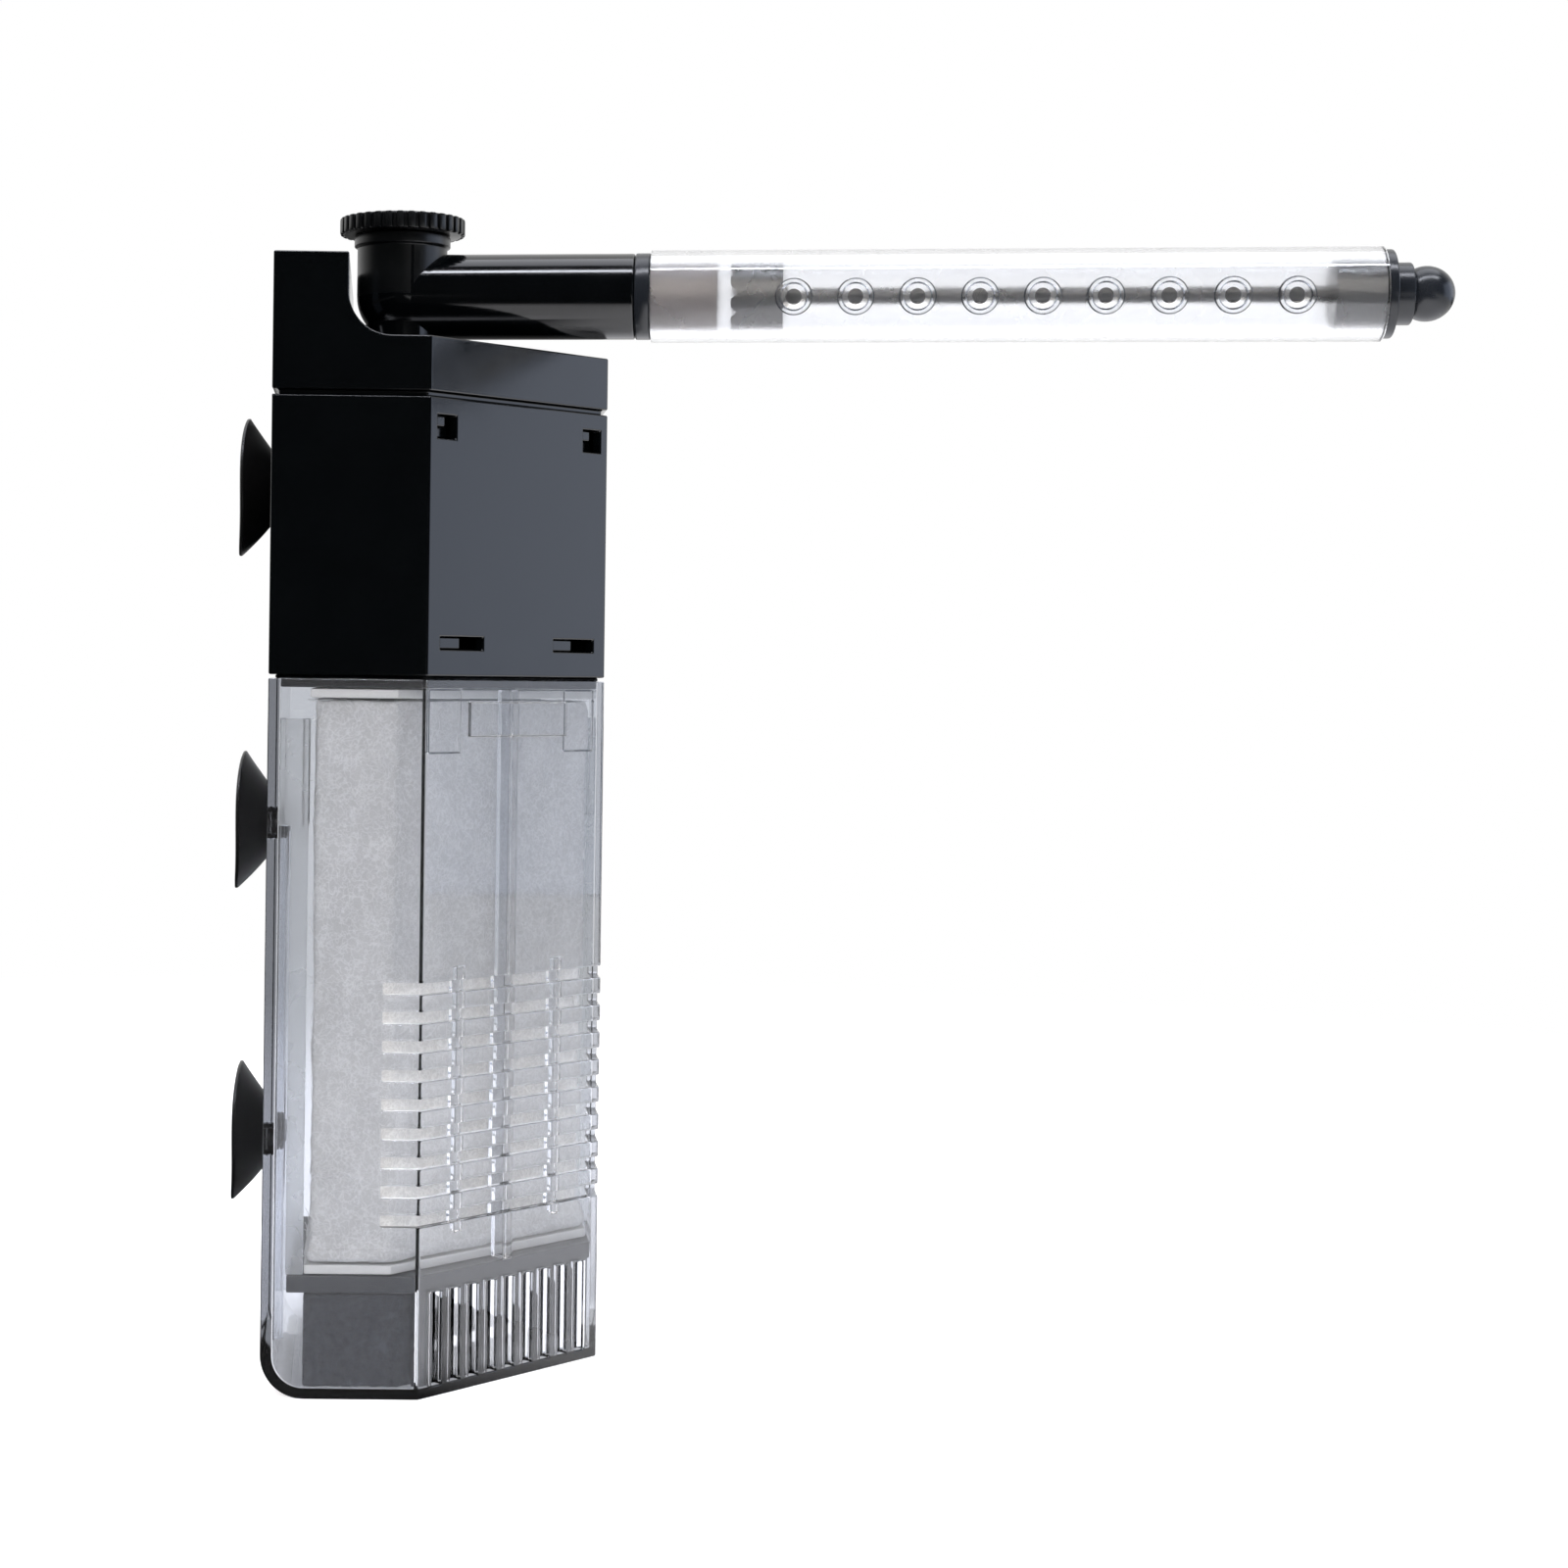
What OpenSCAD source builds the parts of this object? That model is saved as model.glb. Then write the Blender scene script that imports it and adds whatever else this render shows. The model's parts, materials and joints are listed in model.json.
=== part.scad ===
// Internal corner filter: a clear canister with a floss cartridge and a foam block,
// a pump head that lifts off it, and a swivelling outlet with a jet bar.
// Origin: middle of the square footprint, on the face that the canister stands on.
// +Z is up. The tank corner is at -X and +Y, and the cut front corner faces +X and -Y.

/* [Body] */
// Side of the square footprint before its front corner is cut off
body_w = 64; // [60:1:76]
// Leg of the cut front corner
front_leg = 35; // [30:1:40]
// Clearance between pieces that plug into each other
plug_gap = 0.2; // [0.1:0.05:0.4]
// Radial running clearance of a shaft or a turning sleeve
run_gap = 0.08; // [0.03:0.01:0.1]

/* [Canister] */
// Height of the canister
canister_h = 131.5; // [120:0.5:160]
// Wall of the canister
canister_wall = 2; // [1.6:0.1:2.6]
// Floor of the canister
floor_t = 1.6; // [1.2:0.1:2.2]
// Radius of the two rear bottom edges
rear_edge_r = 8; // [5:0.5:10]
// Number of level intake slots
slot_count = 9; // [5:1:10]
// Height of a level slot
slot_h = 2.2; // [1.6:0.1:3]
// Spacing of the level slots
slot_pitch = 5.31; // [4.5:0.01:5.6]
// Lower edge of the lowest level slot
slot_z = 31.4; // [29:0.1:36]
// Length of a level slot on each side face
slot_wrap = 7.4; // [4:0.1:10]
// Number of upright inlet slots
inlet_count = 9; // [5:1:9]
// Width of an upright inlet slot
inlet_w = 2.5; // [1.8:0.1:3]
// Spacing of the upright inlet slots
inlet_pitch = 4.97; // [4.2:0.01:5.1]
// Lower end of the upright inlet slots
inlet_z = 2; // [1.9:0.1:3]
// Width of the ribs behind the level slots
grille_rib_w = 2; // [1.4:0.1:3]
// Depth of the ribs behind the level slots
grille_rib_d = 1.5; // [1:0.1:2]
// Distance of those ribs from the middle of the front face
grille_rib_u = 13.5; // [10:0.1:16]
// Thickness of the middle rib
mid_rib_w = 2.3; // [1.6:0.1:3]
// Depth of the middle rib
mid_rib_d = 3.4; // [2:0.1:4]
// Depth of the guide rails on the rear walls
rail_d = 1.9; // [1:0.1:2.2]
// Thickness of the guide rails
rail_t = 1.4; // [1:0.1:2]
// Distance of the outer guide rail from the side face
rail_inset = 9; // [8:0.5:12]
// Distance of the inner guide rail from the other rear wall
rail_far = 12; // [10:0.5:16]
// Width of the bare name plate
plate_w = 27; // [20:0.5:30]
// Height of the bare name plate
plate_h = 6.3; // [4:0.1:8]
// Depth that the bare name plate stands proud
plate_d = 0.4; // [0.2:0.1:0.6]
// Distance of the name plate from the canister's rim
plate_drop = 4.1; // [3:0.1:8]
// Width of the thick pads in the top corners of the front
pad_w = 8.3; // [6:0.1:9]
// Height of those pads
pad_h = 11.6; // [8:0.1:14]
// Depth of those pads
pad_d = 0.7; // [0.4:0.1:1]

/* [Intake tray] */
// Upper face of the intake tray
tray_z = 22.2; // [20:0.1:24]
// Thickness of the tray's plate
tray_t = 3.1; // [2:0.1:4]
// Distance of the tray from the rear walls' outer faces
tray_rear = 4.6; // [4.2:0.1:6]
// Thickness of the tray's slotted front
tray_front_t = 1.3; // [1:0.1:1.8]
// Width of the water hole in the tray
tray_hole_r = 6; // [4:0.1:7]

/* [Cartridge and foam] */
// Distance of the cartridge from the rear walls' outer faces
cartridge_rear = 7.7; // [7.2:0.1:9]
// Space between the cartridge's plates and the side walls
cartridge_gap = 0.7; // [0.5:0.1:1.2]
// Thickness of the cartridge's two plates
cartridge_plate_t = 1.7; // [1.2:0.1:2.4]
// Distance of the floss inside the edge of the plates
floss_inset = 0.8; // [0.5:0.1:1.5]
// Height of the rolled hem at the foot of the floss
hem_h = 3; // [2:0.1:4]
// Distance that the hem stands out from the floss
hem_d = 0.6; // [0.3:0.1:0.8]
// Outer radius of the cartridge's core tube
core_r = 9; // [8:0.1:10]
// Wall of the core tube
core_wall = 1.5; // [1.2:0.1:2]
// Number of slots in the core tube
core_slots = 8; // [4:1:10]
// Width of a slot in the core tube
core_slot_w = 3; // [2:0.1:4]
// Length of the core tube above and below its slots
core_land = 6; // [4:0.1:10]
// Width of the foam block
foam_w = 20.2; // [15:0.1:21]
// Height of a cartridge clip
clip_h = 19.6; // [12:0.1:24]
// Thickness of a cartridge clip
clip_t = 1.1; // [0.8:0.1:1.4]
// Distance of a clip below the canister's rim
clip_drop = 7.4; // [6:0.1:12]
// Width of the strip from a clip down to the tray
clip_strip_w = 3.2; // [2:0.1:4]

/* [Suction cups] */
// Rim diameter of a suction cup
cup_d = 26.5; // [22:0.5:28]
// Distance that a cup holds the body off the glass
cup_reach = 7.2; // [6:0.1:9]
// Diameter of the cup's foot on the wall
cup_foot_d = 12; // [10:0.5:14]
// Diameter of the stud through the wall
cup_stud_d = 6; // [5:0.1:7]
// Diameter of the head behind the wall
cup_head_d = 7.2; // [6.8:0.1:10]
// Length of the head behind the wall
cup_head_l = 1.2; // [1:0.1:2]
// Thickness of the cup's lip
cup_lip = 1; // [0.7:0.1:1.4]
// Height of the lower cup on the canister
cup_low_z = 44; // [36:0.5:52]
// Distance of the upper cup below the canister's rim
cup_mid_drop = 27.5; // [24:0.5:40]
// Height of the housing's cup above the housing's foot
cup_top_rise = 36; // [26:0.5:40]

/* [Pump housing] */
// Height of the pump housing
housing_h = 51.2; // [48:0.1:60]
// Wall of the pump housing
housing_wall = 2.2; // [1.8:0.1:2.6]
// Open seam between canister and housing
low_seam = 0.7; // [0.4:0.1:1.2]
// Open seam between housing and cap
high_seam = 1; // [0.6:0.1:1.6]
// Depth of both seams
seam_d = 1.2; // [0.8:0.1:1.4]
// Width of a cap latch window
latch_w = 5; // [4:0.1:6]
// Height of a cap latch window
latch_h = 4.3; // [3:0.1:5]
// Distance of a latch window from the edge of the front face
latch_u = 2; // [1.6:0.1:4]
// Distance of the latch windows below the housing's top
latch_drop = 3.2; // [2.6:0.1:5]
// Width of a base latch slot
base_slot_w = 11.5; // [9:0.1:13]
// Height of a base latch slot
base_slot_h = 2.4; // [1.8:0.1:3]
// Distance of a base slot from the edge of the front face
base_slot_u = 3.4; // [2.6:0.1:5]
// Height of the base slots above the housing's foot
base_slot_rise = 4.9; // [4:0.1:7]
// Thickness of a latch arm
arm_t = 1.2; // [0.9:0.1:1.5]

/* [Pump cap] */
// Height of the cap's low deck above the cap's foot
cap_h = 10.1; // [9:0.1:14]
// Height of the tall block above the deck
block_h = 15.1; // [10:0.1:18]
// Width of the tall block along the rear wall
block_w = 13.8; // [12:0.1:14]
// Radius of the cradle between the deck and the tall block
cradle_r = 8; // [5:0.1:9]
// Wall of the cap
cap_wall = 2; // [1.6:0.1:2.4]
// Depth that the cap plugs into the housing
cap_plug = 3; // [2.6:0.1:5]
// Bore of the cable gland
cable_d = 5.2; // [4:0.1:6]
// Diameter of the cable gland's collar
gland_d = 9.4; // [9:0.1:9.6]
// Diameter of the cable gland's stem in the wall
gland_stem_d = 7.6; // [7.4:0.1:8]
// Length that the gland stands out of the block
gland_l = 4; // [3:0.1:6]
// Height of the gland above the cap's foot
gland_rise = 17; // [15:0.1:18]

/* [Motor] */
// Space between the motor and what stands beside it
motor_gap = 0.3; // [0.2:0.1:0.6]
// Thickness of the pump's base plate
base_t = 2.4; // [2:0.1:3]
// Depth that the base plugs into the canister
skirt_h = 1.6; // [1.2:0.1:2]
// Radius of the water inlet in the base
eye_r = 5.5; // [5:0.1:6]
// Radius of the impeller chamber
chamber_r = 9.5; // [9:0.1:10]
// Height of the impeller chamber
chamber_h = 7.6; // [6.5:0.1:9]
// Wall round the impeller chamber
chamber_wall = 1.8; // [1.5:0.1:2]
// Radius of the impeller
impeller_r = 8.6; // [7.5:0.1:8.8]
// Number of impeller blades
blade_count = 6; // [4:1:8]
// Thickness of an impeller blade
blade_t = 1; // [0.8:0.1:1.4]
// Radius of the rotor magnet
rotor_r = 5.4; // [5:0.1:5.6]
// Length of the rotor magnet
rotor_l = 19; // [16:0.1:22]
// Radius of the ceramic shaft
shaft_r = 1.1; // [0.9:0.1:1.4]
// Wall of the hubs round the shaft
hub_wall = 1.5; // [1.2:0.1:1.8]
// Wall of a shaft bush
bush_wall = 0.9; // [0.7:0.1:1.2]
// Length of a shaft bush
bush_l = 2; // [1.6:0.1:2.2]
// Wall of the rotor well
well_wall = 1.1; // [0.9:0.1:1.4]
// Water gap round the rotor
well_gap = 0.6; // [0.4:0.1:0.8]
// Height of the stator's stack of plates
stack_h = 16; // [13:0.1:17]
// Width of a stator leg
leg_w = 5; // [4:0.1:5.4]
// Distance from the shaft to the far end of the stator
stator_l = 19; // [18:0.1:19.2]
// Thickness of the winding round the stator's bridge
winding_t = 2; // [1.5:0.1:2.2]
// Inner radius of the riser pipe
riser_r = 5; // [4.5:0.1:5.2]
// Wall of the riser pipe
riser_wall = 1.4; // [1.2:0.1:1.5]

/* [Outlet] */
// Space between the outlet's neck and the tall block
neck_gap = 1.1; // [0.8:0.1:2]
// Turn of the outlet at rest, from +X
outlet_turn = -8; // [-60:1:60]
// Height of the outlet pipe's axis above the deck
outlet_rise = 10.9; // [10.6:0.1:14]
// Radius of the outlet pipe
pipe_r = 8.2; // [7.8:0.1:8.6]
// Radius of the neck
neck_r = 8.7; // [8.6:0.1:9]
// Bore radius of the outlet pipe
pipe_bore_r = 5.2; // [4.6:0.1:5.4]
// Length of the outlet pipe from the turning axis
pipe_l = 45.2; // [44:0.1:60]
// Height of the neck's collar above the pipe's axis
neck_h = 11.6; // [10.5:0.1:14]
// Height of the neck's collar
collar_h = 2; // [1.6:0.1:2.6]
// Radius of the neck's collar
collar_r = 9.3; // [9.2:0.1:9.6]
// Outer radius of the spigot in the cap
spigot_r = 6.9; // [6.6:0.1:7.2]
// Depth of the spigot below the deck
spigot_l = 7.5; // [6:0.1:8]
// Section diameter of the sealing ring
seal_d = 1.2; // [1:0.1:1.3]
// Outer radius of the valve drum
drum_r = 6.2; // [5.8:0.1:6.4]
// Wall of the valve drum
drum_wall = 1.2; // [1:0.1:1.4]

/* [Flow knob] */
// Radius of the flow knob
knob_r = 12.1; // [11.8:0.1:13]
// Height of the ribbed rim
knob_h = 3.3; // [2.2:0.1:4]
// Number of grooves round the rim
knob_grooves = 34; // [20:1:40]
// Width of a groove
groove_w = 0.7; // [0.4:0.1:0.9]
// Depth of a groove
groove_d = 0.6; // [0.3:0.1:0.8]
// Number of hooks under the rim
hook_count = 2; // [2:1:6]
// Width of a hook
hook_w = 3; // [2:0.1:4]
// Thickness of a hook
hook_t = 2; // [1.4:0.1:2.2]
// Length of a hook below the rim
hook_l = 3; // [2:0.1:3.2]

/* [Jet bar] */
// Outer radius of the clear tube
tube_r = 8.8; // [8.4:0.1:9.2]
// Bore radius of the clear tube
tube_bore_r = 6.5; // [6.2:0.1:6.7]
// Length of the clear tube
tube_l = 135.2; // [120:0.1:160]
// Width of the coupling ring
ring_w = 3.1; // [2:0.1:4]
// Radius of the coupling ring and of the end flange
ring_r = 8.25; // [8:0.05:8.6]
// Length of the coupling's spigot in the tube
ring_spigot_l = 12.6; // [10:0.1:16]
// Length of the coupling's tail in the pipe
ring_tail_l = 7; // [5:0.1:10]
// Bore radius of the coupling
ring_bore_r = 3.8; // [3.4:0.1:4]
// Number of jets
jet_count = 9; // [5:1:9]
// Distance of the first jet from the coupling ring
jet_first = 27; // [25:0.1:30]
// Spacing of the jets
jet_pitch = 11.46; // [10:0.01:11.6]
// Angle of the jets below level
jet_turn = 8; // [0:1:30]
// Radius of a jet hole
jet_r = 1.45; // [1:0.05:1.8]
// Outer radius of a jet's boss
boss_r = 3.5; // [3:0.1:4]
// Height that a boss stands proud of the tube's crest
boss_d = 0.35; // [0.2:0.05:0.6]

/* [Slider] */
// Length of the toothed ring
crown_l = 9.8; // [8:0.1:12]
// Distance of the toothed ring from the coupling's spigot
crown_gap = 2.6; // [1:0.1:4]
// Number of teeth on the ring
crown_teeth = 10; // [6:1:14]
// Depth of the teeth
tooth_d = 1.5; // [1:0.1:2]
// Width of the notch between two teeth
notch_w = 2.7; // [1.6:0.1:2.8]
// Wall of the toothed ring
crown_wall = 1.2; // [1:0.1:1.6]
// Radius of the slider's rod
rod_r = 1.5; // [1.2:0.1:1.8]
// Length of the end plug in the tube
plug_l = 9.1; // [7:0.1:12]
// Thickness of the end plug's flange
flange_t = 1.8; // [1.4:0.1:2.4]
// Radius of the end plug's collar
stop_r = 5.8; // [5:0.1:6.4]
// Length of the end plug's collar
stop_l = 3.4; // [2.6:0.1:4.4]
// Radius of the pull ball
ball_r = 5.15; // [4.6:0.05:5.6]
// Part of the ball's radius that is cut off where it meets the collar
ball_flat = 2.5; // [2:0.1:3]

/* [Hidden] */

$fn = 64;
cut = 1;
nick = 0.1;
bite = 0.4;
spokes = 3;
half_w = body_w / 2;
diagonal = sqrt(2);
face_l = front_leg * diagonal;
face_x = half_w - front_leg / 2;

// Heights of the stack, from the floor up
housing_z = canister_h + low_seam;
housing_top = housing_z + housing_h;
cap_z = housing_top + high_seam;
deck_z = cap_z + cap_h;
block_top = deck_z + block_h;
outlet_z = deck_z + outlet_rise;
collar_top = outlet_z + neck_h;
cup_mid_z = canister_h - cup_mid_drop;

// Cartridge stack
core_base = tray_z + plug_gap;
top_plate_top = canister_h - skirt_h - plug_gap;
floss_z = core_base + cartridge_plate_t + plug_gap;
floss_top = top_plate_top - cartridge_plate_t - plug_gap;
cartridge_side = canister_wall + cartridge_gap;
cartridge_front = canister_wall + mid_rib_d + plug_gap;

// Pump stack
base_top = housing_z + base_t;
volute_top = base_top + chamber_h + chamber_wall;
well_bore_r = rotor_r + well_gap;
well_r = well_bore_r + well_wall;
hub_r = shaft_r + hub_wall;
bush_r = shaft_r + bush_wall;
magnet_z = volute_top + plug_gap;
well_top = magnet_z + rotor_l + well_gap + bush_l;
impeller_z = base_top + well_gap;
housing_inset = housing_wall + plug_gap;
stack_z = volute_top;
core_gap = well_r + plug_gap;
leg_out = core_gap + leg_w - bite;
riser_out = riser_r + riser_wall;
port_r = spigot_r + run_gap;

// Places of the two upright axes: the outlet clears the tall block, and the motor clears the riser
outlet_x = -half_w + block_w + neck_gap + neck_r;
motor_x = outlet_x + riser_out + motor_gap + leg_out;
motor_y = half_w - housing_inset - motor_gap - winding_t - plug_gap / 2 - stator_l;

// Direction and distance from the motor shaft to the riser under the outlet
riser_dx = outlet_x - motor_x;
riser_dy = -motor_y;
riser_turn = atan2(riser_dy, riser_dx);
riser_far = norm([riser_dx, riser_dy]);

// Distances along the outlet pipe, from its turning axis
tube_s = pipe_l + ring_w;
tube_end = tube_s + tube_l;
crown_s = tube_s + ring_spigot_l + crown_gap;
stop_end = tube_end + flange_t + stop_l;
ball_s = stop_end + plug_gap + ball_r - ball_flat;
drum_bore_r = drum_r - drum_wall;
rod_seat_r = rod_r + run_gap / 2;

black = [0.05, 0.055, 0.065];
smoke = [0.55, 0.58, 0.62, 0.45];
slate = [0.27, 0.29, 0.32];
white = [0.93, 0.93, 0.92];
clear = [0.9, 0.92, 0.95, 0.4];

// Outline of the body, moved in by its own distance at the rear, side and front walls
function outline(rear, side, front) =
    let (d = body_w - front_leg - front * diagonal)
    [
        [-half_w + rear, -half_w + side],
        [d - half_w + side, -half_w + side],
        [half_w - side, half_w - side - d],
        [half_w - side, half_w - rear],
        [-half_w + rear, half_w - rear]
    ];

module prism(rear, side, front, z, h) {
    translate([0, 0, z]) linear_extrude(h) polygon(outline(rear, side, front));
}

module inset_prism(inset, z, h) {
    prism(inset, inset, inset, z, h);
}

// A ring of the body's outline, between two insets
module wall_ring(out, in, z, h) {
    difference() {
        inset_prism(out, z, h);
        inset_prism(in, z - cut, h + 2 * cut);
    }
}

// The front face's own frame: X along the face from its left edge, Y inwards
module on_front() {
    translate([face_x, -face_x, 0]) rotate([0, 0, 45]) translate([-face_l / 2, 0, 0]) children();
}

// A block on the front face
module front_block(u, w, depth, d, z, h) {
    on_front() translate([u, depth, z]) cube([w, d, h]);
}

// Copies across the plane of symmetry through the tank corner, which swaps the two rear walls
module across_corner() {
    mirror([1, 1, 0]) children();
}

module both_sides() {
    children();
    across_corner() children();
}

// What a rounded rear bottom edge takes off the -X wall
module rear_edge_cut(inset, z) {
    r = rear_edge_r - inset;
    translate([-half_w + inset, 0, z]) difference() {
        translate([-cut, -half_w - cut, -cut]) cube([r + cut, body_w + 2 * cut, r + cut]);
        translate([r, 0, r]) rotate([90, 0, 0]) cylinder(r = r, h = body_w + 4 * cut, center = true);
    }
}

// Frame of a suction cup: Z leaves the -X wall
module on_rear_wall(z) {
    translate([-half_w, 0, z]) rotate([0, -90, 0]) children();
}

module cup_hole(z) {
    on_rear_wall(z) cylinder(d = cup_stud_d + plug_gap, h = 4 * cut + 2 * housing_wall, center = true);
}

module suction_cup(z, wall) {
    foot = plug_gap / 2;
    inner = wall + plug_gap / 2;
    on_rear_wall(z) rotate_extrude() polygon([
        [0, -inner - cup_head_l],
        [cup_stud_d / 2 - cup_lip, -inner - cup_head_l],
        [cup_head_d / 2, -inner - cup_head_l / 3],
        [cup_head_d / 2, -inner],
        [cup_stud_d / 2, -inner],
        [cup_stud_d / 2, foot],
        [cup_foot_d / 2, foot],
        [cup_d / 2, cup_reach - cup_lip / 2],
        [cup_d / 2, cup_reach],
        [cup_d / 2 - cup_lip, cup_reach],
        [cup_foot_d / 2, foot + cup_lip * 2],
        [0, foot + cup_lip]
    ]);
}

// Frame of the outlet: Z up its turning axis, X along the pipe
module in_outlet() {
    translate([outlet_x, 0, 0]) rotate([0, 0, outlet_turn]) children();
}

// Frame along the pipe: Z along it, from the turning axis
module along_pipe(s) {
    in_outlet() translate([s, 0, outlet_z]) rotate([0, 90, 0]) children();
}

module on_motor(z) {
    translate([motor_x, motor_y, z]) children();
}

module canister_block() {
    difference() {
        inset_prism(0, 0, canister_h);
        both_sides() rear_edge_cut(0, 0);
    }
}

module canister_cavity() {
    difference() {
        inset_prism(canister_wall, floor_t, canister_h);
        both_sides() rear_edge_cut(canister_wall, floor_t);
    }
}

// The level slots take out the front wall and wrap round onto the side faces
module level_slots() {
    edge = front_leg - half_w + slot_wrap;
    for (i = [0 : slot_count - 1]) {
        intersection() {
            wall_ring(-cut, canister_wall, slot_z + i * slot_pitch, slot_h);
            translate([-edge, -body_w, 0]) cube([2 * body_w, body_w + edge, canister_h]);
        }
    }
}

module inlet_slots(depth, d, top) {
    first = face_l / 2 - (inlet_count - 1) / 2 * inlet_pitch - inlet_w / 2;
    for (i = [0 : inlet_count - 1]) {
        front_block(first + i * inlet_pitch, inlet_w, depth, d, inlet_z, top - inlet_z);
    }
}

module guide_rails() {
    rail_x = -half_w + canister_wall - bite;
    rail_z = rear_edge_r + cut;
    for (y = [-half_w + rail_inset, half_w - rail_far - rail_t]) {
        translate([rail_x, y, rail_z])
            cube([rail_d + bite, rail_t, canister_h - clip_drop - clip_h - plug_gap - rail_z]);
    }
}

module canister_shell() {
    color(smoke) union() {
        difference() {
            canister_block();
            canister_cavity();
            level_slots();
            inlet_slots(-cut, canister_wall + 2 * cut, tray_z - tray_t);
            both_sides() {
                cup_hole(cup_low_z);
                cup_hole(cup_mid_z);
            }
        }
        rib_z = slot_z - slot_h;
        rib_h = (slot_count - 1) * slot_pitch + 3 * slot_h;
        for (u = [-grille_rib_u, grille_rib_u]) {
            front_block(face_l / 2 + u - grille_rib_w / 2, grille_rib_w, canister_wall - bite,
                grille_rib_d + bite, rib_z, rib_h);
        }
        front_block(face_l / 2 - mid_rib_w / 2, mid_rib_w, canister_wall - bite,
            mid_rib_d + bite, tray_z + plug_gap, canister_h - skirt_h - plug_gap - tray_z - plug_gap);
        for (u = [canister_wall, face_l - canister_wall - pad_w]) {
            front_block(u, pad_w, canister_wall - bite, pad_d + bite,
                canister_h - skirt_h - plug_gap - pad_h, pad_h);
        }
        front_block((face_l - plate_w) / 2, plate_w, -plate_d, plate_d + bite,
            canister_h - plate_drop - plate_h, plate_h);
        both_sides() guide_rails();
    }
}

module intake_tray() {
    tray_side = canister_wall + plug_gap;
    front_in = tray_side + tray_front_t;
    tray_face = front_in * (diagonal - 1);
    color(slate) difference() {
        union() {
            prism(tray_rear, tray_side, tray_side, tray_z - tray_t, tray_t);
            front_block(tray_face, face_l - 2 * tray_face, tray_side, tray_front_t,
                floor_t + plug_gap, tray_z - floor_t - 2 * plug_gap);
        }
        inlet_slots(0, front_in + cut, tray_z - tray_t);
        on_motor(tray_z - tray_t - cut) cylinder(r = tray_hole_r, h = tray_t + 2 * cut);
    }
}

module foam_block() {
    side = canister_wall + plug_gap;
    foam_x = -half_w + cartridge_rear;
    color(slate) intersection() {
        prism(cartridge_rear, side, side + tray_front_t + 2 * plug_gap,
            floor_t + plug_gap, tray_z - tray_t - floor_t - 2 * plug_gap);
        translate([foam_x, -half_w, 0]) cube([foam_w, body_w, tray_z]);
    }
}

module cartridge_plate(z, hole_r) {
    difference() {
        prism(cartridge_rear, cartridge_side, cartridge_front, z, cartridge_plate_t);
        on_motor(z - cut) cylinder(r = hole_r, h = cartridge_plate_t + 2 * cut);
    }
}

module cartridge_foot() {
    color(white) cartridge_plate(core_base, core_r - core_wall);
}

module cartridge_top() {
    color(white) cartridge_plate(top_plate_top - cartridge_plate_t, core_r - core_wall);
}

module cartridge_core() {
    core_z = core_base + cartridge_plate_t;
    core_h = top_plate_top - cartridge_plate_t - core_z;
    color(white) on_motor(core_z) difference() {
        cylinder(r = core_r, h = core_h);
        translate([0, 0, -cut]) cylinder(r = core_r - core_wall, h = core_h + 2 * cut);
        for (i = [0 : core_slots - 1]) {
            rotate([0, 0, i * 360 / core_slots]) translate([0, -core_slot_w / 2, core_land])
                cube([core_r + cut, core_slot_w, core_h - 2 * core_land]);
        }
    }
}

module cartridge_floss() {
    rear = cartridge_rear + floss_inset;
    side = cartridge_side + floss_inset;
    front = cartridge_front + floss_inset;
    color(white) difference() {
        union() {
            prism(rear, side, front, floss_z, floss_top - floss_z);
            prism(rear - hem_d, side - hem_d, front - hem_d, floss_z, hem_h);
        }
        on_motor(floss_z - cut) cylinder(r = core_r + plug_gap, h = canister_h);
    }
}

// A clip in the corner of a side wall that keeps the cartridge off the rear wall, with a strip to the tray
module cartridge_clip() {
    clip_x = -half_w + canister_wall + plug_gap / 2;
    clip_y = -half_w + canister_wall + plug_gap / 2;
    clip_w = cartridge_rear - canister_wall - plug_gap;
    clip_z = canister_h - clip_drop - clip_h;
    translate([clip_x, clip_y, clip_z]) cube([clip_w, clip_t, clip_h]);
    translate([clip_x, clip_y, clip_z]) cube([clip_t, rail_inset, clip_h]);
    translate([clip_x + clip_w - clip_t, clip_y, clip_z]) cube([clip_t, rail_inset, clip_h]);
    translate([clip_x + clip_w - clip_strip_w, clip_y, core_base])
        cube([clip_strip_w, clip_t, clip_z - core_base + bite]);
}

module clip_left() {
    color(clear) cartridge_clip();
}

module clip_right() {
    color(clear) across_corner() cartridge_clip();
}

module cup_left_low() {
    color(black) suction_cup(cup_low_z, canister_wall);
}

module cup_left_mid() {
    color(black) suction_cup(cup_mid_z, canister_wall);
}

module cup_left_top() {
    color(black) suction_cup(housing_z + cup_top_rise, housing_wall);
}

module cup_rear_low() {
    color(black) across_corner() suction_cup(cup_low_z, canister_wall);
}

module cup_rear_mid() {
    color(black) across_corner() suction_cup(cup_mid_z, canister_wall);
}

module cup_rear_top() {
    color(black) across_corner() suction_cup(housing_z + cup_top_rise, housing_wall);
}

// A latch arm behind the front wall, with its nose in a window of that wall
module latch_arm(u, w, z, h, nose_z, nose_h, nose_w) {
    front_block(u, w, housing_inset, arm_t, z, h);
    front_block(u, nose_w, seam_d / 2, housing_inset + arm_t - seam_d / 2, nose_z, nose_h);
}

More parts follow.
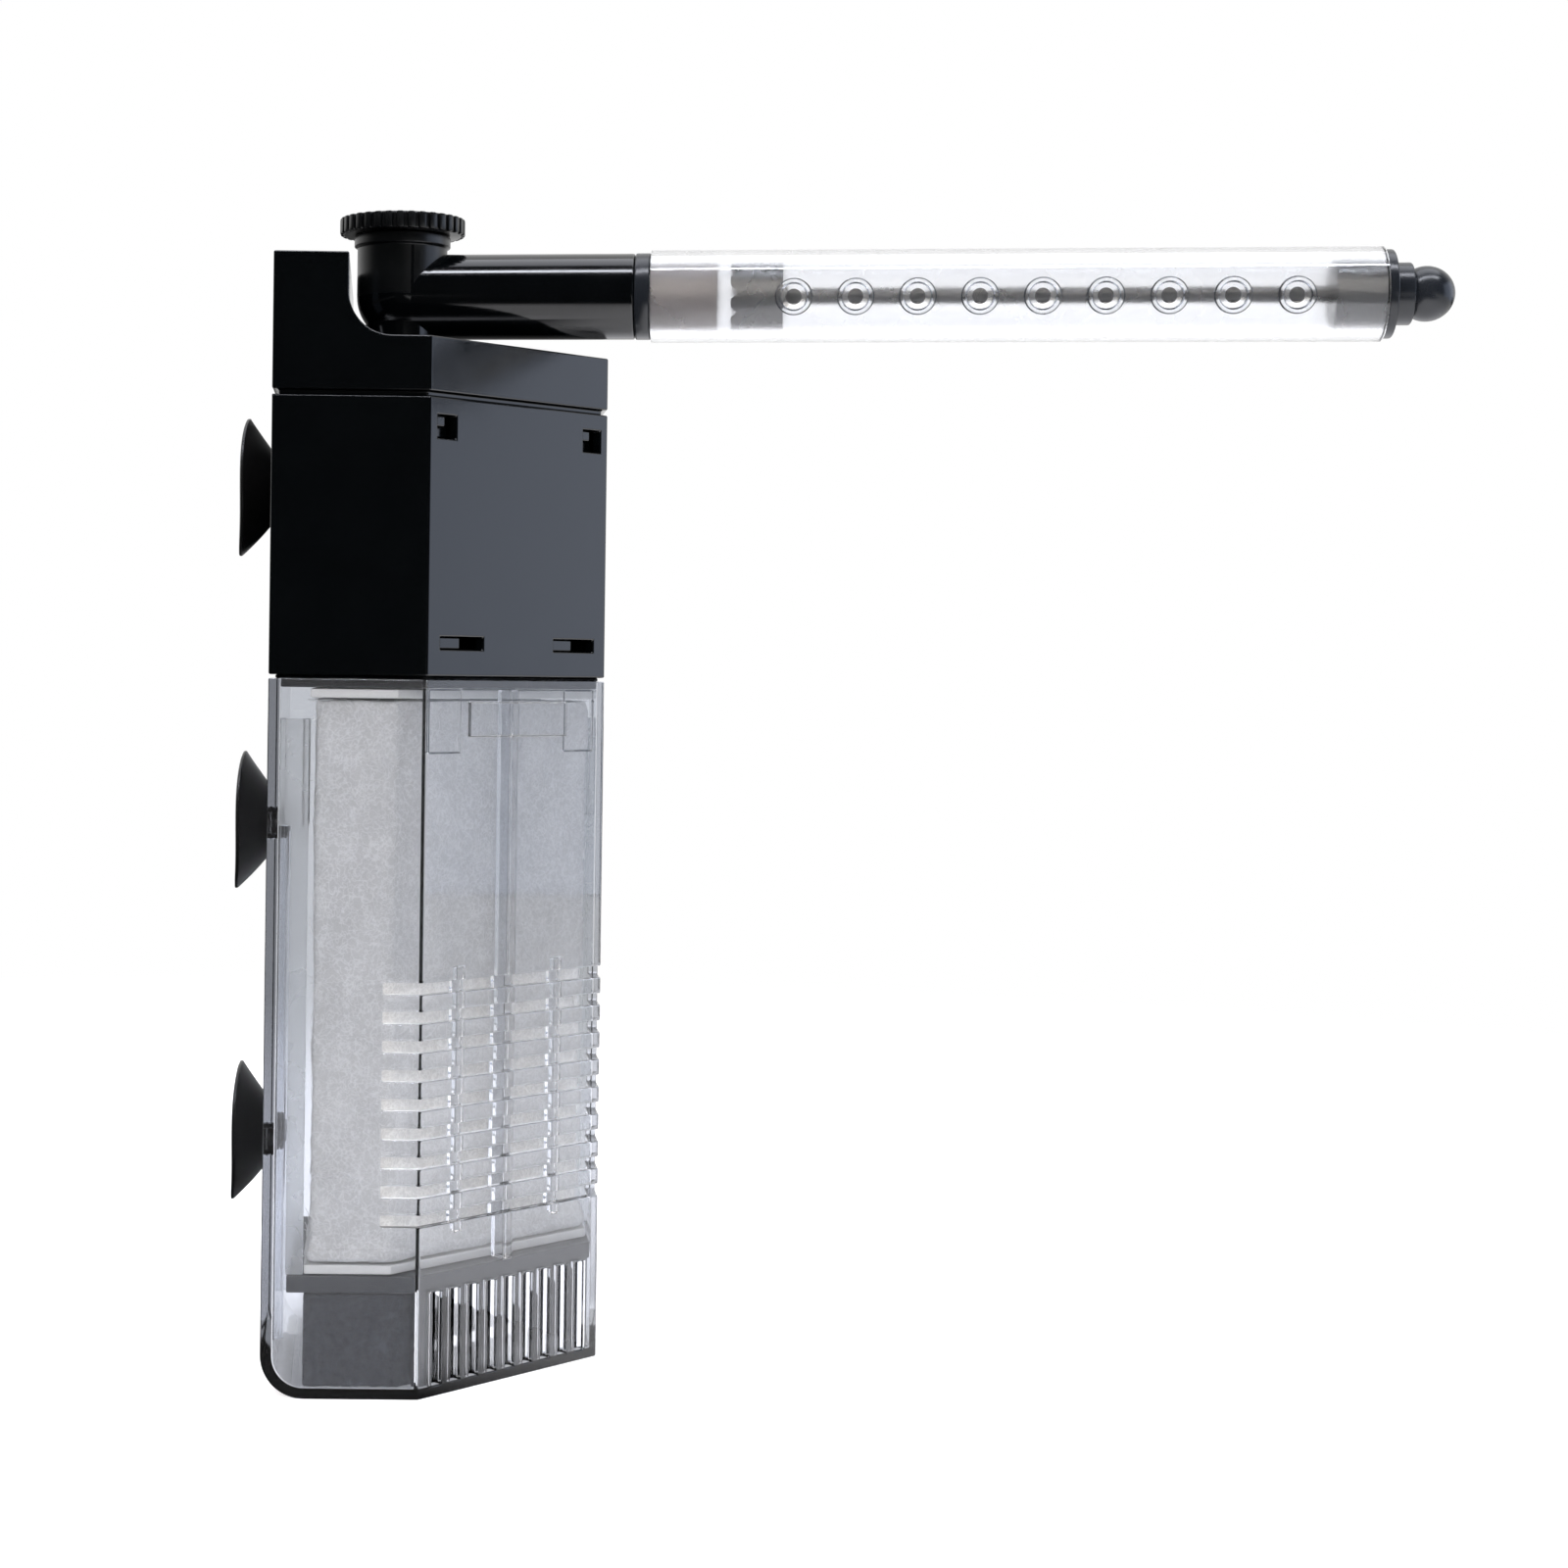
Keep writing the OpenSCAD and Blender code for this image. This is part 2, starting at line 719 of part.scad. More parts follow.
module pump_base() {
    slot_bottom = housing_z + base_slot_rise;
    nose_w = base_slot_w / 2 - plug_gap;
    spoke_h = base_t + low_seam + 4 * cut;
    color(black) difference() {
        union() {
            inset_prism(seam_d, canister_h, low_seam);
            inset_prism(housing_inset, housing_z - bite, base_t + bite);
            wall_ring(canister_wall + plug_gap, canister_wall + plug_gap + housing_wall,
                canister_h - skirt_h, skirt_h + bite);
            for (u = [base_slot_u, face_l - base_slot_u - base_slot_w]) {
                latch_arm(u + plug_gap, nose_w, housing_z, base_slot_rise + base_slot_h,
                    slot_bottom + plug_gap / 2, base_slot_h - plug_gap, nose_w);
            }
        }
        difference() {
            on_motor(canister_h - cut) cylinder(r = eye_r, h = base_t + low_seam + 2 * cut);
            for (i = [0 : spokes - 1]) {
                on_motor(canister_h - 2 * cut) rotate([0, 0, i * 360 / spokes])
                    translate([0, -blade_t / 2, 0]) cube([eye_r + cut, blade_t, spoke_h]);
            }
            on_motor(canister_h - 2 * cut) cylinder(r = hub_r + blade_t / 2, h = spoke_h);
        }
        on_motor(base_top - bush_l) cylinder(r = bush_r + run_gap, h = bush_l + cut);
    }
}

module pump_housing() {
    window_z = housing_top - latch_drop - latch_h;
    deep = housing_wall + 2 * cut;
    color(black) difference() {
        wall_ring(0, housing_wall, housing_z, housing_h);
        for (u = [latch_u, face_l - latch_u - latch_w]) {
            front_block(u, latch_w, -cut, deep, window_z, latch_h);
        }
        for (u = [base_slot_u, face_l - base_slot_u - base_slot_w]) {
            front_block(u, base_slot_w, -cut, deep, housing_z + base_slot_rise, base_slot_h);
        }
        both_sides() cup_hole(housing_z + cup_top_rise);
    }
}

// The tall block along the -X wall, with the cradle that leads down to the deck
module cap_block(inset, top) {
    x0 = -half_w + inset;
    y0 = -half_w + inset;
    long = body_w - 2 * inset;
    translate([x0, y0, cap_z + bite]) cube([block_w - 2 * inset, long, top - inset - cap_z - bite]);
}

module cap_cradle() {
    foot_x = -half_w + block_w;
    translate([foot_x - bite, -half_w, deck_z - bite]) difference() {
        cube([cradle_r + bite, body_w, cradle_r + bite]);
        translate([cradle_r + bite, body_w / 2, cradle_r + bite]) rotate([90, 0, 0])
            cylinder(r = cradle_r, h = body_w + 2 * cut, center = true);
    }
}

module pump_cap() {
    plug_z = housing_top - cap_plug;
    nose_z = housing_top - latch_drop - latch_h;
    nose_h = latch_h - 2 * plug_gap;
    nose_w = latch_w - 2 * plug_gap;
    gland_x = -half_w + block_w / 2;
    color(black) difference() {
        union() {
            difference() {
                union() {
                    inset_prism(0, cap_z, cap_h);
                    cap_block(0, block_top);
                    cap_cradle();
                    inset_prism(seam_d, housing_top, high_seam + bite);
                    inset_prism(housing_inset, plug_z, cap_plug + bite);
                }
                inset_prism(housing_inset + cap_wall, plug_z - cut, deck_z - cap_wall - plug_z + cut);
                cap_block(cap_wall, block_top);
            }
            for (u = [latch_u, face_l - latch_u - latch_w]) {
                latch_arm(u + plug_gap, nose_w, nose_z + plug_gap, housing_top - nose_z,
                    nose_z + plug_gap + nose_h / 2, nose_h / 2, nose_w / 2);
            }
            in_outlet() translate([0, 0, cap_z]) cylinder(r = port_r + cap_wall, h = cap_h - bite);
        }
        in_outlet() translate([0, 0, cap_z - cut]) cylinder(r = port_r, h = cap_h + cut + cradle_r);
        translate([gland_x, half_w, cap_z + gland_rise]) rotate([90, 0, 0])
            cylinder(d = gland_stem_d + plug_gap, h = 2 * (cap_wall + cut), center = true);
    }
}

// Rubber bush in the block's end wall, with an open bore for the cable
module cable_gland() {
    gland_x = -half_w + block_w / 2;
    stem = cap_wall + plug_gap / 2;
    color(black) translate([gland_x, half_w, cap_z + gland_rise]) rotate([-90, 0, 0]) rotate_extrude()
        polygon([
            [cable_d / 2, -stem - cap_wall], [gland_d / 2, -stem - cap_wall], [gland_d / 2, -stem],
            [gland_stem_d / 2, -stem], [gland_stem_d / 2, plug_gap / 2], [gland_d / 2, plug_gap / 2],
            [gland_stem_d / 2, gland_l], [cable_d / 2, gland_l]
        ]);
}

module volute() {
    wall_h = volute_top - base_top;
    duct_w = 2 * riser_r;
    color(slate) on_motor(base_top) difference() {
        union() {
            cylinder(r = chamber_r + chamber_wall, h = wall_h);
            rotate([0, 0, riser_turn]) {
                translate([0, -riser_out, 0]) cube([riser_far, 2 * riser_out, wall_h]);
                translate([riser_far, 0, 0]) cylinder(r = riser_out, h = wall_h);
            }
        }
        translate([0, 0, -cut]) cylinder(r = chamber_r, h = chamber_h + cut);
        rotate([0, 0, riser_turn]) {
            translate([0, -duct_w / 2 + bite, -cut])
                cube([riser_far, duct_w - 2 * bite, chamber_h - chamber_wall + cut]);
            translate([riser_far, 0, -cut]) cylinder(r = riser_r, h = wall_h + 2 * cut);
        }
        cylinder(r = well_r + run_gap, h = wall_h + cut);
    }
}

module rotor_well() {
    well_z = volute_top - chamber_wall;
    seat_z = well_top - bush_l;
    color(slate) on_motor(0) difference() {
        translate([0, 0, well_z]) cylinder(r = well_r, h = well_top + well_wall - well_z);
        translate([0, 0, well_z - cut]) cylinder(r = well_bore_r, h = seat_z - well_z + cut);
        translate([0, 0, seat_z - cut]) cylinder(r = bush_r + run_gap, h = bush_l + cut);
    }
}

// Riser from the volute up to the cap, with a head that plugs into the cap's port
module riser_pipe() {
    riser_h = cap_z - volute_top;
    head_h = cap_h - spigot_l - plug_gap;
    color(slate) translate([outlet_x, 0, volute_top]) difference() {
        union() {
            cylinder(r = riser_out, h = riser_h);
            translate([0, 0, riser_h - cap_plug]) cylinder(r = spigot_r, h = cap_plug + head_h);
        }
        translate([0, 0, -cut]) cylinder(r = riser_r, h = riser_h + head_h + 2 * cut);
    }
}

// U-shaped stack of plates: two legs beside the rotor well and a bridge that carries the winding
module stator_stack() {
    color([0.45, 0.46, 0.48]) on_motor(stack_z) difference() {
        translate([-leg_out, -well_r, 0]) cube([2 * leg_out, well_r + stator_l, stack_h]);
        translate([0, 0, -cut]) cylinder(r = core_gap, h = stack_h + 2 * cut);
        translate([-leg_out + leg_w, 0, -cut])
            cube([2 * (leg_out - leg_w), stator_l - leg_w, stack_h + 2 * cut]);
    }
}

module stator_winding() {
    inner = leg_out - leg_w - plug_gap;
    gap = plug_gap / 2;
    color([0.72, 0.4, 0.2]) on_motor(stack_z) difference() {
        translate([-inner, stator_l - leg_w - gap - winding_t, -gap - winding_t])
            cube([2 * inner, leg_w + 2 * (gap + winding_t), stack_h + 2 * (gap + winding_t)]);
        translate([-inner - cut, stator_l - leg_w - gap, -gap])
            cube([2 * (inner + cut), leg_w + 2 * gap, stack_h + 2 * gap]);
    }
}

module shaft() {
    shaft_z = base_top - bush_l / 2;
    color(white) on_motor(shaft_z) cylinder(r = shaft_r, h = well_top - bush_l / 2 - shaft_z);
}

module bush(z, open_end) {
    on_motor(z) difference() {
        cylinder(r = bush_r, h = bush_l);
        translate([0, 0, open_end]) cylinder(r = shaft_r + run_gap / 2, h = bush_l / 2 + cut);
    }
}

module bush_low() {
    color(black) bush(base_top - bush_l, bush_l / 2);
}

module bush_high() {
    color(black) bush(well_top - bush_l, -cut);
}

module rotor_magnet() {
    color(slate) on_motor(magnet_z) difference() {
        cylinder(r = rotor_r, h = rotor_l);
        translate([0, 0, -cut]) cylinder(r = shaft_r + run_gap, h = rotor_l + 2 * cut);
    }
}

module impeller() {
    hub_h = magnet_z - impeller_z;
    blade_h = chamber_h - 2 * well_gap;
    color(white) on_motor(impeller_z) difference() {
        union() {
            cylinder(r = hub_r, h = hub_h);
            for (i = [0 : blade_count - 1]) {
                rotate([0, 0, i * 360 / blade_count]) translate([0, -blade_t / 2, 0])
                    cube([impeller_r, blade_t, blade_h]);
            }
        }
        translate([0, 0, -cut]) cylinder(r = shaft_r + run_gap, h = hub_h + 2 * cut);
    }
}

// Elbow: a neck that carries the knob, a ball corner, a pipe and a spigot down into the cap
module outlet_elbow() {
    spigot_z = deck_z - spigot_l;
    groove_z = deck_z - spigot_l / 2;
    color(black) difference() {
        union() {
            in_outlet() {
                translate([0, 0, outlet_z]) sphere(r = neck_r);
                translate([0, 0, outlet_z]) cylinder(r = neck_r, h = neck_h);
                translate([0, 0, collar_top - collar_h]) cylinder(r = collar_r, h = collar_h);
                translate([0, 0, spigot_z]) cylinder(r = spigot_r, h = outlet_z - spigot_z);
            }
            along_pipe(0) cylinder(r = pipe_r, h = pipe_l);
        }
        in_outlet() {
            translate([0, 0, spigot_z - cut]) cylinder(r = pipe_bore_r, h = outlet_z - spigot_z + cut);
            translate([0, 0, outlet_z - drum_r]) cylinder(r = drum_r + run_gap, h = neck_h + drum_r + cut);
            translate([0, 0, groove_z]) rotate_extrude()
                translate([spigot_r - seal_d, -seal_d / 2 - plug_gap])
                    square([seal_d + cut, seal_d + 2 * plug_gap]);
        }
        along_pipe(0) cylinder(r = pipe_bore_r, h = pipe_l + cut);
    }
}

module outlet_seal() {
    groove_z = deck_z - spigot_l / 2;
    ring_mid = spigot_r + run_gap / 2 - seal_d / 2;
    color(black) in_outlet() translate([0, 0, groove_z]) rotate_extrude()
        translate([ring_mid, 0]) circle(d = seal_d);
}

module jet_coupling() {
    color(black) along_pipe(pipe_l) difference() {
        union() {
            translate([0, 0, plug_gap / 2]) cylinder(r = ring_r, h = ring_w - plug_gap);
            cylinder(r = tube_bore_r - run_gap, h = ring_w + ring_spigot_l);
            translate([0, 0, -ring_tail_l]) cylinder(r = pipe_bore_r - run_gap, h = ring_tail_l + bite);
        }
        translate([0, 0, -ring_tail_l - cut])
            cylinder(r = ring_bore_r, h = ring_tail_l + ring_w + ring_spigot_l + 2 * cut);
    }
}

module flow_knob() {
    knob_z = collar_top + plug_gap;
    hook_r = collar_r + plug_gap;
    pointer_w = groove_w * 2;
    color(black) in_outlet() translate([0, 0, knob_z]) difference() {
        union() {
            cylinder(r = knob_r, h = knob_h);
            for (i = [0 : hook_count - 1]) {
                rotate([0, 0, i * 360 / hook_count - outlet_turn]) translate([hook_r, -hook_w / 2, -hook_l])
                    cube([hook_t, hook_w, hook_l + bite]);
            }
        }
        for (i = [0 : knob_grooves - 1]) {
            rotate([0, 0, i * 360 / knob_grooves]) translate([knob_r - groove_d, -groove_w / 2, -cut])
                cube([groove_d + cut, groove_w, knob_h + 2 * cut]);
        }
        translate([0, -pointer_w / 2, knob_h - groove_d]) cube([knob_r - 2 * pointer_w, pointer_w, knob_h]);
        translate([0, 0, -cut]) cylinder(r = drum_bore_r, h = cut + knob_h / 2);
    }
}

// Valve drum under the knob: open below, with a window towards the pipe
module valve_drum() {
    drum_z = outlet_z - drum_r + plug_gap;
    drum_h = collar_top + plug_gap - drum_z;
    color(slate) difference() {
        in_outlet() translate([0, 0, drum_z]) difference() {
            cylinder(r = drum_r, h = drum_h);
            translate([0, 0, -cut]) cylinder(r = drum_bore_r, h = drum_h + 2 * cut);
        }
        along_pipe(0) cylinder(r = pipe_bore_r - bite, h = pipe_l);
    }
}

// Frame of one jet: Z out of the tube's side
module at_jet(i) {
    translate([0, 0, jet_first + i * jet_pitch]) rotate([90, 0, jet_turn]) children();
}

module jet_tube() {
    crest = tube_r + boss_d;
    seat = tube_r - boss_d * 2;
    color(clear) along_pipe(tube_s) difference() {
        union() {
            cylinder(r = tube_r, h = tube_l);
            for (i = [0 : jet_count - 1]) {
                at_jet(i) cylinder(r = boss_r, h = crest);
            }
        }
        translate([0, 0, -cut]) cylinder(r = tube_bore_r, h = tube_l + 2 * cut);
        for (i = [0 : jet_count - 1]) {
            at_jet(i) {
                cylinder(r = jet_r, h = crest + cut);
                translate([0, 0, seat])
                    cylinder(r1 = jet_r, r2 = boss_r - boss_d, h = crest - seat + nick);
            }
        }
    }
}

module end_plug() {
    color(slate) along_pipe(tube_end) difference() {
        union() {
            translate([0, 0, -plug_l]) cylinder(r = tube_bore_r - run_gap, h = plug_l);
            cylinder(r = ring_r, h = flange_t);
            cylinder(r = stop_r, h = flange_t + stop_l);
        }
        translate([0, 0, -plug_l - cut])
            cylinder(r = rod_r + run_gap, h = plug_l + flange_t + stop_l + 2 * cut);
    }
}

module slider_rod() {
    rod_s = crown_s + crown_l - crown_wall;
    color(slate) along_pipe(rod_s) cylinder(r = rod_r, h = ball_s - rod_s);
}

// Ring with a toothed mouth that scrapes the tube, with a spoked hub for the rod near its other end
module slider_crown() {
    out_r = tube_bore_r - plug_gap;
    in_r = out_r - crown_wall;
    hub_top = crown_l - bite;
    hub_z = hub_top - 2 * crown_wall;
    color(slate) along_pipe(crown_s) difference() {
        union() {
            difference() {
                cylinder(r = out_r, h = crown_l);
                translate([0, 0, -cut]) cylinder(r = in_r, h = crown_l + 2 * cut);
                for (i = [0 : crown_teeth - 1]) {
                    rotate([0, 0, (i + 1 / 2) * 360 / crown_teeth]) translate([in_r - cut, 0, 0])
                        rotate([90, 0, 90]) linear_extrude(crown_wall + 2 * cut)
                            polygon([[-notch_w / 2, -nick], [notch_w / 2, -nick], [0, tooth_d]]);
                }
            }
            translate([0, 0, hub_z]) {
                cylinder(r = rod_r + crown_wall, h = hub_top - hub_z);
                for (i = [0 : spokes - 1]) {
                    rotate([0, 0, i * 360 / spokes]) translate([rod_r + bite, -crown_wall / 2, bite])
                        cube([in_r - rod_r, crown_wall, hub_top - hub_z - 2 * bite]);
                }
            }
        }
        translate([0, 0, crown_l - crown_wall]) cylinder(r = rod_seat_r, h = crown_wall + cut);
    }
}

// Pull ball, flat where it meets the collar, on the end of the rod
module slider_ball() {
    color(slate) along_pipe(ball_s) difference() {
        sphere(r = ball_r);
        translate([0, 0, -ball_r - (ball_r - ball_flat)]) cylinder(r = ball_r, h = ball_r);
        translate([0, 0, -ball_r]) cylinder(r = rod_seat_r, h = ball_r);
    }
}

canister_shell();
intake_tray();
foam_block();
cartridge_foot();
cartridge_core();
cartridge_top();
cartridge_floss();
clip_left();
clip_right();
cup_left_low();
cup_left_mid();
cup_left_top();
cup_rear_low();
cup_rear_mid();
cup_rear_top();
pump_base();
pump_housing();
pump_cap();
cable_gland();
volute();
rotor_well();
riser_pipe();
stator_stack();
stator_winding();
shaft();
bush_low();
bush_high();
rotor_magnet();
impeller();
outlet_elbow();
outlet_seal();
jet_coupling();
flow_knob();
valve_drum();
jet_tube();
end_plug();
slider_rod();
slider_crown();
slider_ball();
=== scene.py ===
"""Looks of an internal corner filter: a clear canister, a black pump head and a clear jet bar.

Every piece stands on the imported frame. Lengths are millimetres until a mesh is made.
"""
import json
import logging
import math
from collections.abc import Callable
from dataclasses import dataclass
from enum import Enum

import bmesh
import bpy
from mathutils import Matrix, Vector, noise


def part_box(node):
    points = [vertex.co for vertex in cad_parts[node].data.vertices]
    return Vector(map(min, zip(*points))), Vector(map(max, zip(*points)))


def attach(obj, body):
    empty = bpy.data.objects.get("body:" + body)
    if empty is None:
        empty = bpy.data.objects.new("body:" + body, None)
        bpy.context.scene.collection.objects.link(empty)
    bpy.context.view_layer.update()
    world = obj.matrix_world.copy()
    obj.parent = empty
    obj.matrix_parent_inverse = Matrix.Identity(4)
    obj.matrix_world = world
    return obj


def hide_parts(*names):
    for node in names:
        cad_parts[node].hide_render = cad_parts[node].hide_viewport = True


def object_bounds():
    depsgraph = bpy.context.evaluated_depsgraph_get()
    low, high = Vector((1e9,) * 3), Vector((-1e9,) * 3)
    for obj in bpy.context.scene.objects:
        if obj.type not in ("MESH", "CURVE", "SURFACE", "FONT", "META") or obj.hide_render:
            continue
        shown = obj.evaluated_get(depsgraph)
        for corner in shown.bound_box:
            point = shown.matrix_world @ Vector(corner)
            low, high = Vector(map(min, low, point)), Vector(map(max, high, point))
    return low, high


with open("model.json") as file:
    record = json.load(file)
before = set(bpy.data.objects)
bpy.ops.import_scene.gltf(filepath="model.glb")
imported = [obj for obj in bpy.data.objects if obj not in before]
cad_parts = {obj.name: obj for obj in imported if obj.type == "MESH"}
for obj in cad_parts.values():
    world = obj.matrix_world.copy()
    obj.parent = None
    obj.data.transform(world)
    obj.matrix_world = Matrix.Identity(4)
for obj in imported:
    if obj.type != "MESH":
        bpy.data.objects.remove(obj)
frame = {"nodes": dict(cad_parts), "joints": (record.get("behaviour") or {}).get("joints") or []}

CAD_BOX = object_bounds()
MM = 0.001
LOG = logging.getLogger("corner_filter")
Profile = list[tuple[float, float]]
Nodes, Node, Socket, Thing = bpy.types.NodeTree, bpy.types.Node, bpy.types.NodeSocket, bpy.types.Object
Source = Socket | Node
UP = Vector((0, 0, 1))
WELD_MM = 0.002
FLAT_DEG = 0.6
EDGE_DEG = 38
BLUNT_DEG = 80
TINY = 1e-6
# Most of a noise texture's values lie between these.
NOISE_SPAN = (0.3, 0.7)
NOISE_ROUGHNESS = 0.55
# A wave texture of scale 1 turns by this in one unit.
WAVE_RADIANS = 20


class Body(str, Enum):
    """Bodies of the frame that pieces ride on."""

    CANISTER = "canister"
    PUMP_HEAD = "pump_head"
    OUTLET = "outlet"
    KNOB = "knob"
    JET_BAR = "jet_bar"
    SLIDER = "slider"


# Finishes


def linear(code: str) -> tuple[float, float, float, float]:
    """Turns an sRGB hex colour into linear RGBA.

    Args:
        code: Six hex digits, with or without a leading hash sign.

    Returns:
        The linear colour with full alpha.
    """
    digits = code.lstrip("#")
    parts = [int(digits[i:i + 2], 16) / 255 for i in (0, 2, 4)]
    r, g, b = (p / 12.92 if p <= 0.04045 else ((p + 0.055) / 1.055) ** 2.4 for p in parts)
    return (r, g, b, 1.0)


def add_node(tree: Nodes, kind: str, inputs: dict | None = None, to: Socket | None = None,
             **settings: object) -> Node:
    """Adds a node with its settings, input values and links.

    Args:
        tree: Tree that takes the node.
        kind: Type name of the node.
        inputs: By the input's name or number: a value, an output socket, or a node for its first output.
        to: Input that the node's first output feeds.
        settings: Properties of the node itself.

    Returns:
        The new node.
    """
    node = tree.nodes.new(kind)
    for key, value in settings.items():
        setattr(node, key, value)
    for key, value in (inputs or {}).items():
        source = value.outputs[0] if isinstance(value, Node) else value
        if isinstance(source, Socket):
            tree.links.new(source, node.inputs[key])
        else:
            node.inputs[key].default_value = source
    if to is not None:
        tree.links.new(node.outputs[0], to)
    return node


def per_mm(size_mm: float) -> float:
    """Scale of a texture on Object coordinates whose features are this many millimetres wide."""
    return 1 / (size_mm * MM)


def grain(place: Source, size_mm: float, detail: int) -> dict[str, object]:
    """Inputs of a noise with features of a real size.

    Args:
        place: Coordinates that it lies on.
        size_mm: Width of its features.
        detail: Rounds of finer features.

    Returns:
        The inputs by name.
    """
    return {"Vector": place, "Scale": per_mm(size_mm), "Detail": detail, "Roughness": NOISE_ROUGHNESS}


@dataclass(frozen=True)
class Finish:
    """A moulded plastic: even colour, faint flow marks in its gloss and a fine skin."""

    name: str
    colour: str
    roughness: float
    ior: float = 1.5
    mark_mm: float = 9.0
    mark_depth: float = 0.05
    skin_mm: float = 0.6
    skin_height_mm: float = 0.004
    colour_swing: float = 0.12

    def material(self) -> bpy.types.Material:
        """Makes the material once and gives it back afterwards.

        Returns:
            The material.
        """
        found = bpy.data.materials.get(self.name)
        if found is not None:
            return found
        made = bpy.data.materials.new(self.name)
        made.use_nodes = True
        made.node_tree.nodes.clear()
        tree = made.node_tree
        shader = add_node(tree, "ShaderNodeBsdfPrincipled", {
            "IOR": self.ior, "Base Color": linear(self.colour)})
        out = add_node(tree, "ShaderNodeOutputMaterial", {"Surface": shader})
        self.dress(tree, shader, out)
        made.diffuse_color = linear(self.colour)
        return made

    def dress(self, tree: Nodes, shader: Node, out: Node) -> None:
        """Adds the surface detail to the shader.

        Args:
            tree: The material's tree.
            shader: Its principled shader.
            out: Its output node.
        """
        place = add_node(tree, "ShaderNodeTexCoord").outputs["Object"]
        marks = add_node(tree, "ShaderNodeTexNoise", grain(place, self.mark_mm, 3))
        self.swing_colour(tree, shader, marks)
        self.swing_roughness(tree, shader, marks)
        self.raise_skin(tree, shader, place)

    def swing_colour(self, tree: Nodes, shader: Node, factor: Source) -> None:
        """Lets the base colour swing a little about its value along a factor.

        Args:
            tree: The material's tree.
            shader: Its principled shader.
            factor: What it swings with.
        """
        base = linear(self.colour)
        ramp = add_node(tree, "ShaderNodeValToRGB", {"Fac": factor}, shader.inputs["Base Color"])
        sides = (1 - self.colour_swing, 1 + self.colour_swing)
        for element, position, side in zip(ramp.color_ramp.elements, NOISE_SPAN, sides):
            element.position = position
            element.color = (*(min(1.0, c * side) for c in base[:3]), 1)

    def swing_roughness(self, tree: Nodes, shader: Node, factor: Source) -> None:
        """Lets the roughness swing about its value along a factor.

        Args:
            tree: The material's tree.
            shader: Its principled shader.
            factor: What it swings with.
        """
        add_node(tree, "ShaderNodeMapRange", {
            "Value": factor, "From Min": NOISE_SPAN[0], "From Max": NOISE_SPAN[1],
            "To Min": max(0.0, self.roughness - self.mark_depth), "To Max": self.roughness + self.mark_depth},
            shader.inputs["Roughness"])

    def raise_skin(self, tree: Nodes, shader: Node, place: Source) -> None:
        """Gives the surface the fine relief that its mould leaves.

        Args:
            tree: The material's tree.
            shader: Its principled shader.
            place: Coordinates that the relief lies on.
        """
        skin = add_node(tree, "ShaderNodeTexNoise", grain(place, self.skin_mm, 2))
        add_node(tree, "ShaderNodeBump", {
            "Height": skin, "Strength": 1.0, "Distance": self.skin_height_mm * MM}, shader.inputs["Normal"])


@dataclass(frozen=True)
class ClearFinish(Finish):
    """A clear plastic, which darkens along the light's way through its walls."""

    absorb: str = "#ffffff"
    reach_mm: float = 0.0
    tint: str = "#ffffff"
    clear: float = 1.0

    def dress(self, tree: Nodes, shader: Node, out: Node) -> None:
        """Adds transmission, faint flow marks and the wall's own colour.

        Args:
            tree: The material's tree.
            shader: Its principled shader.
            out: Its output node.
        """
        shader.inputs["Base Color"].default_value = linear(self.tint)
        shader.inputs["Transmission Weight"].default_value = self.clear
        place = add_node(tree, "ShaderNodeTexCoord").outputs["Object"]
        self.swing_roughness(tree, shader, add_node(tree, "ShaderNodeTexNoise", grain(place, self.mark_mm, 3)))
        self.raise_skin(tree, shader, place)
        if self.reach_mm:
            add_node(tree, "ShaderNodeVolumeAbsorption", {
                "Color": linear(self.absorb), "Density": per_mm(self.reach_mm)}, out.inputs["Volume"])


